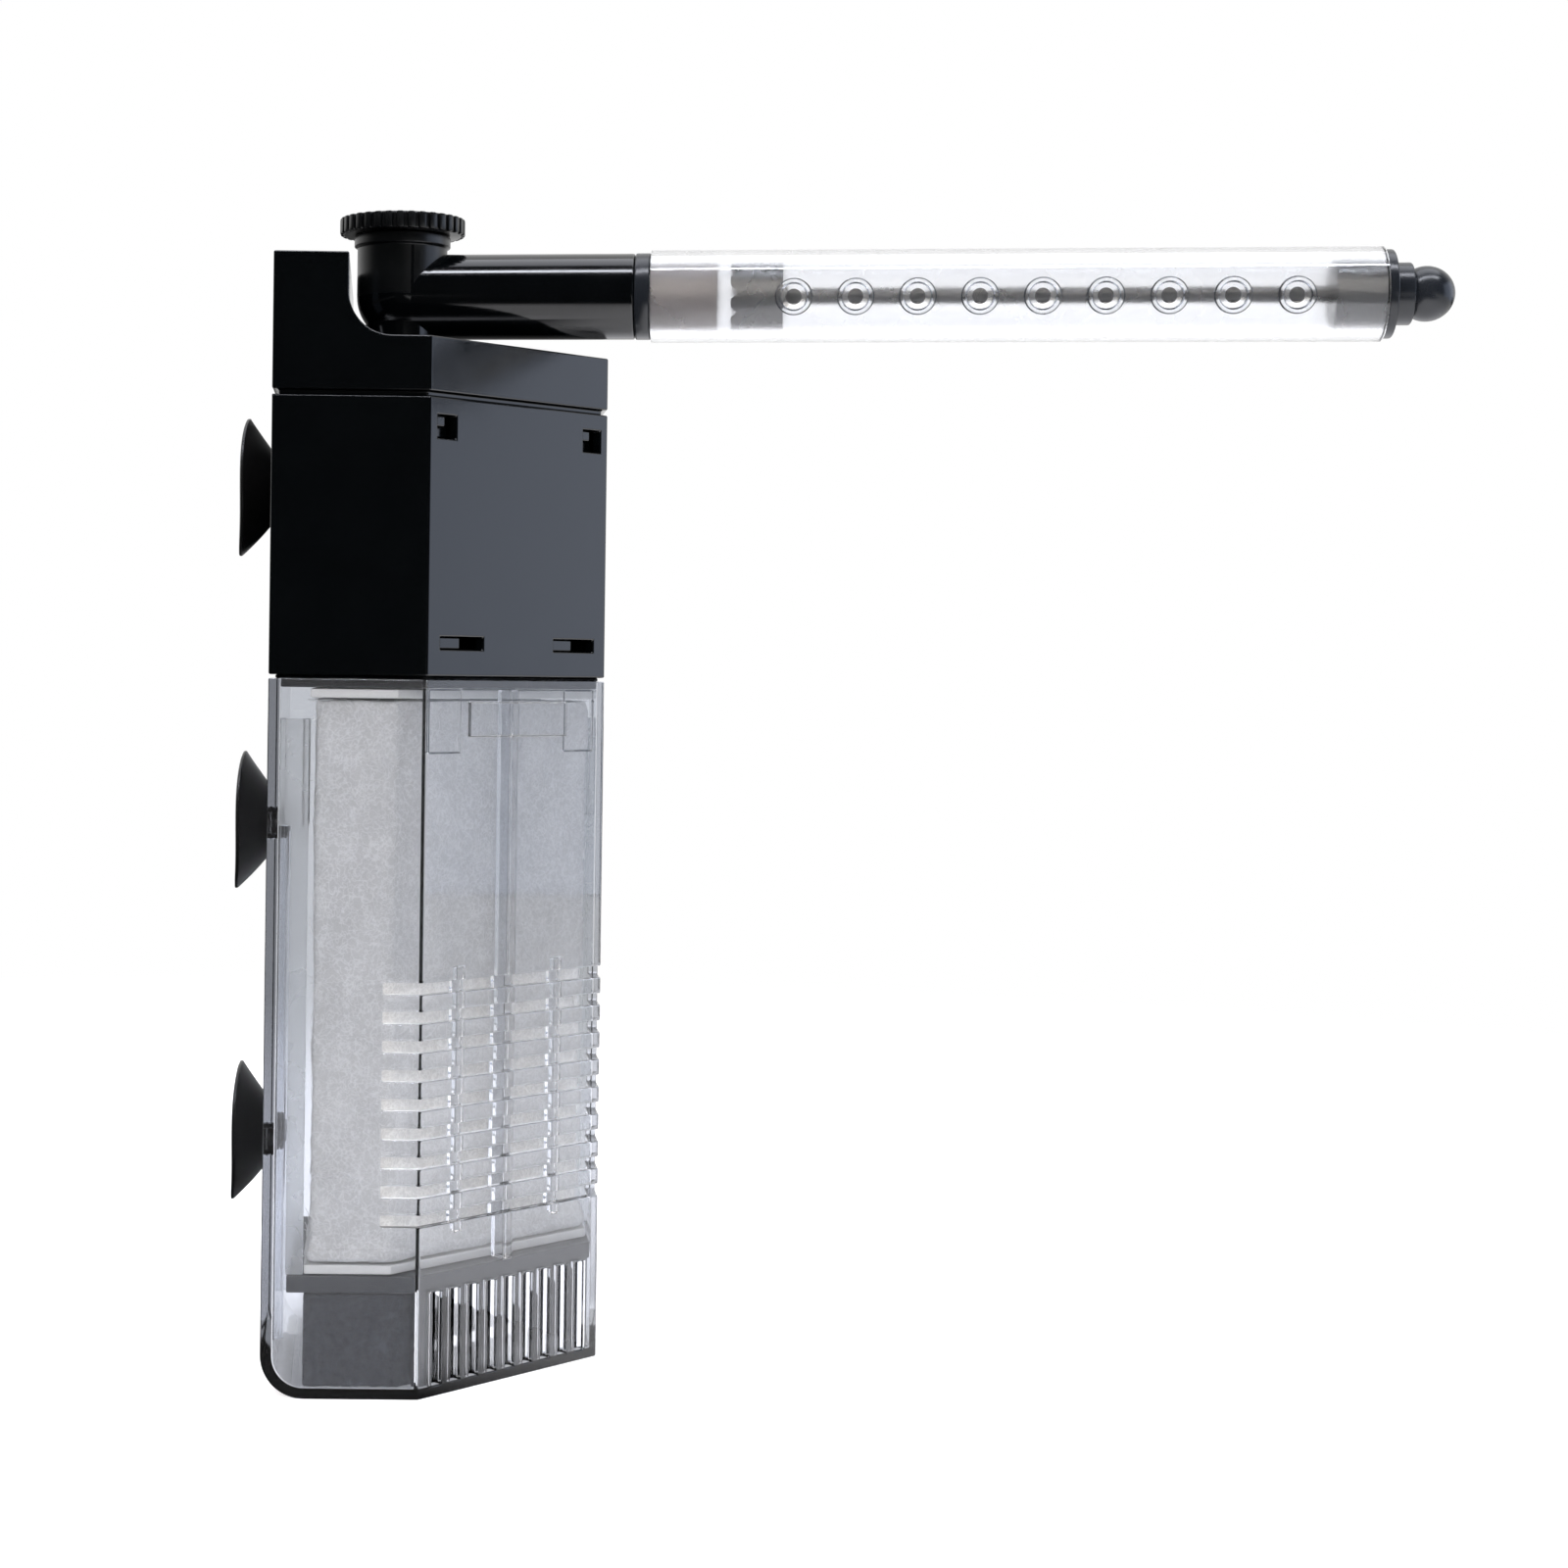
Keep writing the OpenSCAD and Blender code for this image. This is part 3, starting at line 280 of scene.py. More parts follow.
@dataclass(frozen=True)
class FlossFinish(Finish):
    """Polyester floss: matted white fibres, with a soft sheen, paler curls painted as highlights and grey
    depths between them painted as shade.
    """

    curl_mm: float = 1.7
    strand: float = 0.03
    layers: int = 3
    layer_shift: tuple[float, float, float] = (0.31, 0.17, 0.23)
    shade_cloud_mm: float = 6.0
    shade_cloud_gain: float = 0.4
    shade_cloud_base: float = 0.2
    curl_highlight_gain: float = 0.3
    sheen: float = 0.3
    sheen_roughness: float = 0.6
    through: float = 0.15

    def dress(self, tree: Nodes, shader: Node, out: Node) -> None:
        """Adds curled fibre lines painted paler as highlights, cloudy grey painted as shade in the depths, and
        a sheen.

        Args:
            tree: The material's tree.
            shader: Its principled shader.
            out: Its output node.
        """
        shader.inputs["Sheen Weight"].default_value = self.sheen
        shader.inputs["Sheen Roughness"].default_value = self.sheen_roughness
        shader.inputs["Roughness"].default_value = self.roughness
        place = add_node(tree, "ShaderNodeTexCoord").outputs["Object"]
        lines: Source | float = 0.0
        for layer in range(self.layers):
            shift = tuple(part * layer for part in self.layer_shift)
            moved = add_node(tree, "ShaderNodeVectorMath", {0: place, 1: shift}, operation="ADD")
            curl = add_node(tree, "ShaderNodeTexNoise", grain(moved, self.curl_mm, 1))
            off = add_node(tree, "ShaderNodeMath", {0: curl, 1: 0.5}, operation="SUBTRACT")
            near = add_node(tree, "ShaderNodeMath", {0: off}, operation="ABSOLUTE")
            line = add_node(tree, "ShaderNodeMapRange", {
                "Value": near, "From Max": self.strand, "To Min": 1.0, "To Max": 0.0})
            lines = add_node(tree, "ShaderNodeMath", {0: lines, 1: line}, operation="MAXIMUM")
        # The cloudy grey is painted shade in the depths between fibres; the curl lines laid over it are painted
        # highlights.
        haze = add_node(tree, "ShaderNodeTexNoise", grain(place, self.shade_cloud_mm, 3))
        depth_shade = add_node(tree, "ShaderNodeMath", {0: haze, 1: self.shade_cloud_gain, 2: self.shade_cloud_base},
                          operation="MULTIPLY_ADD")
        mixed = add_node(tree, "ShaderNodeMath", {0: lines, 1: self.curl_highlight_gain, 2: depth_shade},
                         operation="MULTIPLY_ADD")
        self.swing_colour(tree, shader, mixed)
        add_node(tree, "ShaderNodeBump", {
            "Height": mixed, "Strength": 1.0, "Distance": self.skin_height_mm * MM}, shader.inputs["Normal"])
        glow = add_node(tree, "ShaderNodeBsdfTranslucent", {"Color": linear(self.colour)})
        add_node(tree, "ShaderNodeMixShader", {0: self.through, 1: shader, 2: glow}, out.inputs["Surface"])


@dataclass(frozen=True)
class FoamFinish(Finish):
    """Open-cell foam: pits painted darker than the paler strands, as painted shade in the pits."""

    lit_strand_colour: str = "#3c4047"
    strand_span: tuple[float, float] = (0.02, 0.07)
    cell_mm: float = 1.5
    grain_mm: float = 0.4

    def dress(self, tree: Nodes, shader: Node, out: Node) -> None:
        """Paints the strands paler than the pits, which are painted darker as shade, on the edges of the same
        cells that the mesh has.

        Args:
            tree: The material's tree.
            shader: Its principled shader.
            out: Its output node.
        """
        shader.inputs["Roughness"].default_value = self.roughness
        place = add_node(tree, "ShaderNodeTexCoord").outputs["Object"]
        cells = add_node(tree, "ShaderNodeTexVoronoi", {"Vector": place, "Scale": per_mm(self.cell_mm)},
                         feature="DISTANCE_TO_EDGE")
        ramp = add_node(tree, "ShaderNodeValToRGB", {"Fac": cells.outputs["Distance"]},
                        shader.inputs["Base Color"])
        # Strands paler, pits darker: painted shade in the pits.
        colours = (self.lit_strand_colour, self.colour)
        for element, position, colour in zip(ramp.color_ramp.elements, self.strand_span, colours):
            element.position = position
            element.color = linear(colour)
        pores = add_node(tree, "ShaderNodeTexNoise", grain(place, self.grain_mm, 2))
        add_node(tree, "ShaderNodeBump", {
            "Height": pores, "Strength": 1.0, "Distance": self.skin_height_mm * MM}, shader.inputs["Normal"])


@dataclass(frozen=True)
class MetalFinish(Finish):
    """A metal with lines across one axis, as on stacked plates or a wound coil."""

    line_mm: float = 0.5
    line_axis: str = "Z"
    line_height_mm: float = 0.05

    def dress(self, tree: Nodes, shader: Node, out: Node) -> None:
        """Adds the lines and a worn gloss.

        Args:
            tree: The material's tree.
            shader: Its principled shader.
            out: Its output node.
        """
        shader.inputs["Metallic"].default_value = 1.0
        place = add_node(tree, "ShaderNodeTexCoord").outputs["Object"]
        scale = per_mm(self.line_mm) / WAVE_RADIANS
        lines = add_node(tree, "ShaderNodeTexWave", {"Vector": place, "Scale": scale},
                         bands_direction=self.line_axis, wave_profile="SIN")
        marks = add_node(tree, "ShaderNodeTexNoise", grain(place, self.mark_mm, 3))
        self.swing_colour(tree, shader, marks)
        self.swing_roughness(tree, shader, marks)
        add_node(tree, "ShaderNodeBump", {
            "Height": lines.outputs["Fac"], "Strength": 1.0, "Distance": self.line_height_mm * MM},
            shader.inputs["Normal"])


# Injection-moulded ABS: polished tool, deep black, mirrors the studio softly.
BLACK_ABS = Finish("Black moulded ABS", "#020304", 0.13, ior=1.54, mark_depth=0.03, skin_height_mm=0.0012)
# The same resin with a spark-eroded skin, duller under the knob.
SATIN_ABS = Finish("Satin moulded ABS", "#040506", 0.32, ior=1.5, skin_mm=0.35, skin_height_mm=0.006)
# Slate polypropylene: nearly black, with a waxy gloss.
SLATE_PP = Finish("Slate polypropylene", "#15181d", 0.24, ior=1.49, skin_height_mm=0.003)
# The same slate resin where it sits in the frosted bore, painted paler grey-brown as painted light: the haze
# that the frosted wall lays over it.
HAZE_PAINTED_PP = Finish("Greyed polypropylene spigot", "#5f5856", 0.4, ior=1.49, skin_height_mm=0.003)
# Charcoal polypropylene of the slider, the darkest of the greys.
CHARCOAL_PP = Finish("Charcoal polypropylene", "#131519", 0.3, ior=1.49, skin_height_mm=0.003)
# Dark grey polypropylene of the intake tray, with a soft shine.
TRAY_PP = Finish("Dark tray polypropylene", "#1d2026", 0.35, ior=1.49, skin_height_mm=0.003)
# White polypropylene of the cartridge: an even white, half dull.
WHITE_PP = Finish("White polypropylene", "#e6e6e3", 0.4, ior=1.49, colour_swing=0.03)
# Natural polypropylene: clear but milky.
MILKY_PP = ClearFinish("Milky polypropylene", "#dfe6f0", 0.28, ior=1.4, tint="#e9ebec", clear=0.75)
# Smoked styrene-acrylonitrile: clear, blue-grey where the light runs along the wall.
SMOKED_SAN = ClearFinish("Smoked clear SAN", "#c9ced8", 0.03, ior=1.5, mark_depth=0.02, skin_mm=5.0,
                         skin_height_mm=0.003, tint="#e6e8ec", absorb="#5f6676", reach_mm=40.0, clear=0.993)
# Clear polystyrene tube: polished outside.
CLEAR_PS = ClearFinish("Clear polystyrene", "#f4f6fb", 0.03, ior=1.55, mark_depth=0.02, skin_height_mm=0.002)
# The same tube's bore, frosted by its core pin.
FROSTED_PS = ClearFinish("Frosted polystyrene bore", "#f4f6fb", 0.27, ior=1.55, skin_mm=0.45,
                         skin_height_mm=0.02, tint="#eef0f5")
# The same resin at the steep edges of the jets, tinted darker as painted shade: the dark outline where the
# light turns away.
JET_EDGE_SHADE_PS = ClearFinish("Clear polystyrene edge", "#8b9099", 0.08, ior=1.55, tint="#767c87")
# Soft black rubber of the cups, bushes, seal and gland: broad, weak highlights.
BLACK_RUBBER = Finish("Soft black rubber", "#0b0b0c", 0.38, ior=1.5, skin_mm=0.5, skin_height_mm=0.008)
# Matted polyester floss: white and dull, with paler curls painted as highlights on grey depths painted as
# shade.
FLOSS = FlossFinish("White polyester floss", "#e9e9e8", 0.9, skin_height_mm=0.06, colour_swing=0.18)
# Loose fibres of the same polyester, painted whiter than the floss as painted light against the shade they lie
# in.
PAINTED_LIGHT_FIBRE = Finish("White polyester fibre", "#fbfbfa", 0.6, ior=1.5, colour_swing=0.05)
# Open-cell polyurethane foam: dark, dull and pitted, with painted shade in its pits.
FOAM = FoamFinish("Dark open-cell foam", "#282b31", 0.9, skin_height_mm=0.05)
# Rolled silicon-steel plates: grey metal, lined by their cut edges.
STATOR_STEEL = MetalFinish("Stacked stator steel", "#8d9096", 0.38, line_mm=0.5)
# Enamelled copper wire: warm metal with fine lines.
COPPER = MetalFinish("Enamelled copper winding", "#b4642e", 0.3, line_mm=0.4, line_axis="X")
# Ground and polished oxide ceramic of the shaft: white, with a hard gloss.
CERAMIC = Finish("Polished ceramic", "#ecebe6", 0.1, ior=1.7, colour_swing=0.02)
# Pressed and sintered ferrite of the rotor: dark, dull and a little grainy.
FERRITE = Finish("Sintered ferrite", "#202124", 0.55, ior=1.9, skin_mm=0.4, skin_height_mm=0.02)


# Meshes


def new_object(name: str, mesh: bpy.types.Mesh) -> Thing:
    """Links a mesh to the scene as an object at the origin.

    Args:
        name: Name of the new object.
        mesh: Its mesh, in metres.

    Returns:
        The new object.
    """
    made = bpy.data.objects.new(name, mesh)
    bpy.context.scene.collection.objects.link(made)
    return made


def from_bmesh(name: str, bm: bmesh.types.BMesh, sharp_deg: float = 35.0) -> Thing:
    """Makes an object of a bmesh that was built in millimetres.

    Args:
        name: Name of the new object.
        bm: The bmesh, which is freed.
        sharp_deg: Edges steeper than this stay sharp.

    Returns:
        The new object, in metres.
    """
    bmesh.ops.scale(bm, vec=(MM, MM, MM), verts=bm.verts)
    mesh = bpy.data.meshes.new(name)
    bm.to_mesh(mesh)
    bm.free()
    smooth(mesh, sharp_deg)
    return new_object(name, mesh)


def smooth(mesh: bpy.types.Mesh, sharp_deg: float) -> None:
    """Shades a mesh smooth, apart from its steep edges."""
    mesh.shade_smooth()
    mesh.set_sharp_from_angle(angle=math.radians(sharp_deg))


def discard(thing: Thing) -> None:
    """Removes an object and its mesh.

    Args:
        thing: The object.
    """
    mesh = thing.data
    bpy.data.objects.remove(thing)
    bpy.data.meshes.remove(mesh)


def bake(source: Thing) -> Thing:
    """Turns an object with modifiers into a plain mesh object of the same name, and removes the source.

    Args:
        source: Object whose modifiers are evaluated.

    Returns:
        The plain object.
    """
    graph = bpy.context.evaluated_depsgraph_get()
    ready = source.evaluated_get(graph)
    mesh = bpy.data.meshes.new_from_object(ready, preserve_all_data_layers=True, depsgraph=graph)
    title = source.name
    discard(source)
    mesh.name = title
    return new_object(title, mesh)


def frame_copy(node: str, name: str) -> Thing:
    """A merged copy of a CAD node's mesh, with its flat faces whole.

    Args:
        node: The CAD node.
        name: Name of the new object.

    Returns:
        The copy, without materials.
    """
    mesh = frame["nodes"][node].data.copy()
    mesh.materials.clear()
    bm = bmesh.new()
    bm.from_mesh(mesh)
    bmesh.ops.remove_doubles(bm, verts=bm.verts, dist=WELD_MM * MM)
    bmesh.ops.dissolve_limit(bm, angle_limit=math.radians(FLAT_DEG), verts=bm.verts, edges=bm.edges)
    bm.to_mesh(mesh)
    bm.free()
    for layer in ("custom_normal", "sharp_edge", "sharp_face"):
        if layer in mesh.attributes:
            mesh.attributes.remove(mesh.attributes[layer])
    mesh.name = name
    return new_object(name, mesh)


def rounded(node: str, name: str, edge_mm: float, steps: int = 3) -> Thing:
    """A copy of a CAD node with its edges rounded as a moulding's are.

    Args:
        node: The CAD node.
        name: Name of the new piece.
        edge_mm: Width of the rounding.
        steps: Faces across the rounding.

    Returns:
        The new piece, as a plain mesh.
    """
    copy = frame_copy(node, name)
    copy.data.shade_smooth()
    bevel = copy.modifiers.new("edges", "BEVEL")
    bevel.width = edge_mm * MM
    bevel.segments = steps
    bevel.limit_method = "ANGLE"
    bevel.angle_limit = math.radians(EDGE_DEG)
    bevel.use_clamp_overlap = False
    piece = bake(copy)
    even_normals(piece.data)
    return piece


def even_normals(mesh: bpy.types.Mesh, sharp_deg: float = 35.0) -> None:
    """Lets the largest of the faces that meet at a corner set its normal, so that flat faces mirror flatly.

    Args:
        mesh: Mesh that takes the normals.
        sharp_deg: Faces at steeper angles to each other don't share normals.
    """
    limit = math.cos(math.radians(sharp_deg))
    sides = [face.normal.copy() for face in mesh.polygons]
    weights = [(face.area / MM / MM) ** 2 for face in mesh.polygons]
    around: list[list[int]] = [[] for _ in mesh.vertices]
    for face in mesh.polygons:
        for corner in face.vertices:
            around[corner].append(face.index)
    normals = []
    for face in mesh.polygons:
        own = sides[face.index]
        for corner in face.vertices:
            total = sum((sides[i] * weights[i] for i in around[corner] if sides[i].dot(own) > limit), Vector())
            normals.append(total.normalized() if total.length > 1e-9 else own)
    mesh.normals_split_custom_set(normals)


def fillet(points: Profile, radius: float, steps: int = 4) -> Profile:
    """Rounds every corner of a closed profile that is off its axis.

    Args:
        points: Corners as pairs of radius and height.
        radius: Largest rounding, limited by the sides at each corner.
        steps: Points along each rounding.

    Returns:
        The rounded profile.
    """
    done: Profile = []
    count = len(points)
    for i, here in enumerate(points):
        p = Vector(here)
        a = Vector(points[i - 1]) - p
        b = Vector(points[(i + 1) % count]) - p
        if p.x < TINY or a.length < TINY or b.length < TINY:
            done.append(here)
            continue
        half = a.angle(b) / 2
        if half > math.radians(BLUNT_DEG):
            done.append(here)
            continue
        reach = min(radius / math.tan(half), 0.45 * a.length, 0.45 * b.length)
        start, end = p + a.normalized() * reach, p + b.normalized() * reach
        for k in range(steps + 1):
            t = k / steps
            q = start * (1 - t) ** 2 + p * 2 * t * (1 - t) + end * t ** 2
            done.append((q.x, q.y))
    return done


def lathe(name: str, profile: Profile, place: Matrix, turns: int = 96, sharp_deg: float = 35.0) -> Thing:
    """Turns a closed profile about the Z axis of a place.

    Args:
        name: Name of the new object.
        profile: Corners as pairs of radius and height; points on the axis become poles.
        place: Frame of the axis, in millimetres.
        turns: Steps round the axis.
        sharp_deg: Edges steeper than this stay sharp.

    Returns:
        The turned object.
    """
    bm = bmesh.new()
    rings: list[list[bmesh.types.BMVert]] = []
    for radius, height in profile:
        count = 1 if radius < TINY else turns
        rings.append([bm.verts.new(place @ Vector((radius * math.cos(2 * math.pi * k / turns),
                                                   radius * math.sin(2 * math.pi * k / turns), height)))
                      for k in range(count)])
    for i, low in enumerate(rings):
        high = rings[(i + 1) % len(rings)]
        if len(low) == 1 and len(high) == 1:
            continue
        for k in range(turns):
            corners = [low[k % len(low)], low[(k + 1) % len(low)], high[(k + 1) % len(high)],
                       high[k % len(high)]]
            bm.faces.new(list(dict.fromkeys(corners)))
    bmesh.ops.recalc_face_normals(bm, faces=bm.faces)
    return from_bmesh(name, bm, sharp_deg)


def combine(target: Thing, other: Thing, operation: str) -> Thing:
    """Joins another closed object to a target, or cuts it out, and removes it.

    Args:
        target: Object that is changed; it is used up.
        other: Object that is joined or cut out; it is used up.
        operation: UNION or DIFFERENCE.

    Returns:
        The result, under the target's name.
    """
    step = target.modifiers.new("combine", "BOOLEAN")
    step.operation = operation
    step.object = other
    step.solver = "EXACT"
    result = bake(target)
    discard(other)
    return result


def dress(piece: Thing, finish: Finish, body: Body, slot: str, *nodes: str) -> Thing:
    """Gives a piece its finish and its body, and hides the CAD nodes that it stands for.

    Args:
        piece: The finished mesh object.
        finish: What it is made of.
        body: Body that it rides on.
        slot: Material slot of the record; not used.
        nodes: CAD nodes that it replaces.

    Returns:
        The same piece.
    """
    if not piece.data.materials:
        piece.data.materials.append(finish.material())
    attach(piece, body.value)
    if nodes:
        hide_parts(*nodes)
    LOG.info("%s: %d faces on %s", piece.name, len(piece.data.polygons), body.value)
    return piece


def moulded(node: str, name: str, finish: Finish, body: Body, slot: str, edge_mm: float,
            steps: int = 2) -> None:
    """Rounds a CAD node's edges and dresses the result in its place.

    Args:
        node: The CAD node.
        name: Name of the new piece.
        finish: What it is made of.
        body: Body that it rides on.
        slot: Material slot of the record.
        edge_mm: Width of the rounding.
        steps: Faces across the rounding.
    """
    dress(rounded(node, name, edge_mm, steps), finish, body, slot, node)


def paint(piece: Thing, finishes: tuple[Finish, ...], pick: Callable[[Vector, Vector], int]) -> None:
    """Gives each face one of several finishes.

    Args:
        piece: Object whose faces are painted.
        finishes: The finishes to pick from.
        pick: Number of the finish for a face's centre, in millimetres, and its normal.
    """
    piece.data.materials.clear()
    for finish in finishes:
        piece.data.materials.append(finish.material())
    for face in piece.data.polygons:
        face.material_index = pick(face.center / MM, face.normal)


def refinish(node: str, finish: Finish) -> None:
    """Gives a CAD node that stays in view a finish of its own.

    Args:
        node: The CAD node.
        finish: What it is made of.
    """
    for slot in frame["nodes"][node].material_slots:
        slot.material = finish.material()
    LOG.info("%s: %s", node, finish.name)


def joint_frame(name: str) -> tuple[Vector, Vector]:
    """Place of a joint in millimetres, and its axis."""
    found = next(j for j in frame["joints"] if j["name"] == name)
    return Vector(found.get("pos_m", (0, 0, 0))) / MM, Vector(found["axis"]).normalized()


def axis_place(origin: Vector, along: Vector, up: Vector) -> Matrix:
    """Frame with Z along an axis and Y as near to a second direction as can be.

    Args:
        origin: Where the frame stands, in millimetres.
        along: Direction of its Z axis.
        up: Direction that its Y axis leans to.

    Returns:
        The frame as a matrix.
    """
    z = along.normalized()
    x = up.cross(z).normalized()
    y = z.cross(x)
    return Matrix.Translation(origin) @ Matrix((x, y, z)).transposed().to_4x4()


# Geometry Nodes


class Tree:
    """A Geometry Nodes tree that is built in code and set on a modifier."""

    SOCKETS = {float: "NodeSocketFloat", int: "NodeSocketInt", Vector: "NodeSocketVector",
               Thing: "NodeSocketObject", bpy.types.Material: "NodeSocketMaterial"}

    def __init__(self, name: str, values: dict[str, object]) -> None:
        """Starts a tree with a named input for each value.

        Args:
            name: Name of the tree.
            values: Values of its inputs by their names.
        """
        self.values = values
        self.tree = bpy.data.node_groups.new(name, "GeometryNodeTree")
        face = self.tree.interface
        face.new_socket("Geometry", in_out="INPUT", socket_type="NodeSocketGeometry")
        face.new_socket("Geometry", in_out="OUTPUT", socket_type="NodeSocketGeometry")
        self.keys: dict[str, str] = {}
        for title, value in values.items():
            socket = face.new_socket(title, in_out="INPUT", socket_type=self.SOCKETS[type(value)])
            self.keys[title] = socket.identifier
        self.start = add_node(self.tree, "NodeGroupInput").outputs

    def add(self, kind: str, inputs: dict | None = None, **settings: object) -> Node:
        """Adds a node to the tree."""
        return add_node(self.tree, kind, inputs, **settings)

    def finish(self, geometry: Source, target: Thing) -> Thing:
        """Ends the tree in realized instances with their material, and bakes it on a target.

        Args:
            geometry: Last geometry of the tree.
            target: Object that carries the modifier; it is replaced by the result.

        Returns:
            The plain result.
        """
        real = self.add("GeometryNodeRealizeInstances", {"Geometry": geometry})
        done = self.add("GeometryNodeSetMaterial", {"Geometry": real, "Material": self.start["Material"]})
        self.add("NodeGroupOutput", {0: done})
        modifier = target.modifiers.new(self.tree.name, "NODES")
        modifier.node_group = self.tree
        for title, value in self.values.items():
            modifier[self.keys[title]] = value
        return bake(target)


# Sub-assemblies


@dataclass
class Canister:
    """Clear canister with its tray and clips."""

    wall_edge: float = 0.3
    tray_edge: float = 0.2
    clip_edge: float = 0.2

    def build(self) -> None:
        """Makes every piece of the canister."""
        moulded("canister_shell", "canister", SMOKED_SAN, Body.CANISTER, "smoky_clear", self.wall_edge, 3)
        moulded("intake_tray", "tray", TRAY_PP, Body.CANISTER, "slate_plastic", self.tray_edge)
        for side in ("left", "right"):
            moulded(f"clip_{side}", f"bracket_{side}", MILKY_PP, Body.CANISTER, "milky_clear", self.clip_edge)


@dataclass
class SuctionCups:
    """Six soft cups, each turned and then bent a little, as rubber takes a set."""

    lip: float = 1.0
    rim_r: float = 13.25
    rim_edge: float = 0.5
    foot_r: float = 6.0
    stud_r: float = 3.0
    head_r: float = 3.6
    head_l: float = 1.2
    reach: float = 7.2
    gap: float = 0.1
    skin: float = 0.9
    bowl: float = 1.6
    flare: int = 8
    bow: float = 0.2
    rounding: float = 0.35
    bend: float = 0.9
    wave: float = 0.25
    sag_deg: float = 90.0

    def build(self) -> None:
        """Makes three cups on each of the two walls that face the glass."""
        for side, outward in (("left", Vector((-1, 0, 0))), ("rear", Vector((0, 1, 0)))):
            for level, wall, body in (("low", 2.0, Body.CANISTER), ("mid", 2.0, Body.CANISTER),
                                      ("top", 2.2, Body.PUMP_HEAD)):
                self.cup(f"suction_{side}_{level}", f"cup_{side}_{level}", wall, body, outward)

    def profile(self, wall: float) -> Profile:
        """Half section of a cup, from the head inside the wall to the rim.

        Args:
            wall: Thickness of the wall that the stud goes through.

        Returns:
            The closed profile.
        """
        inner = -wall - self.gap
        tip = inner - self.head_l
        outside = [(self.foot_r, self.gap)]
        for k in range(1, self.flare + 1):
            t = k / self.flare
            outside.append((self.foot_r + (self.rim_r - self.foot_r) * t,
                            self.gap + (self.reach - self.rim_edge - self.gap)
                            * ((1 - self.bow) * t + self.bow * t * t)))
        inside = [(r - self.skin if k else r, z + self.skin) for k, (r, z) in enumerate(outside[1:-1])]
        return ([(0, tip), (self.stud_r - 1, tip), (self.head_r, inner - self.head_l / 3), (self.head_r, inner),
                 (self.stud_r, inner), (self.stud_r, self.gap)] + outside
                + [(self.rim_r, self.reach), (self.rim_r - self.lip, self.reach)] + inside[::-1]
                + [(0, self.bowl)])

    def cup(self, name: str, node: str, wall: float, body: Body, outward: Vector) -> None:
        """Makes one cup.

        Args:
            name: Name of the piece.
            node: CAD node that it stands for.
            wall: Thickness of the wall that the stud goes through.
            body: Body that it rides on.
            outward: Direction from the wall to the glass.
        """
        low, high = (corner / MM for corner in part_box(node))
        middle = (low + high) / 2
        rim = Vector([high[i] if outward[i] > 0.5 else low[i] if outward[i] < -0.5 else middle[i]
                      for i in range(3)])
        place = axis_place(rim - outward * self.reach, outward, UP)
        cup = lathe(name, fillet(self.profile(wall), self.rounding, 3), place, turns=72, sharp_deg=50)
        back = place.inverted()
        for vertex in cup.data.vertices:
            spot = back @ (vertex.co / MM)
            far = max(0.0, (Vector((spot.x, spot.y)).length - self.foot_r) / (self.rim_r - self.foot_r))
            turn = math.atan2(spot.y, spot.x) - math.radians(self.sag_deg)
            spot.z -= (self.bend * far * far * (0.5 + 0.5 * math.cos(turn))
                       + self.wave * far ** 3 * (1 + math.cos(3 * turn)))
            vertex.co = place @ spot * MM
        dress(cup, BLACK_RUBBER, body, "black_rubber", node)


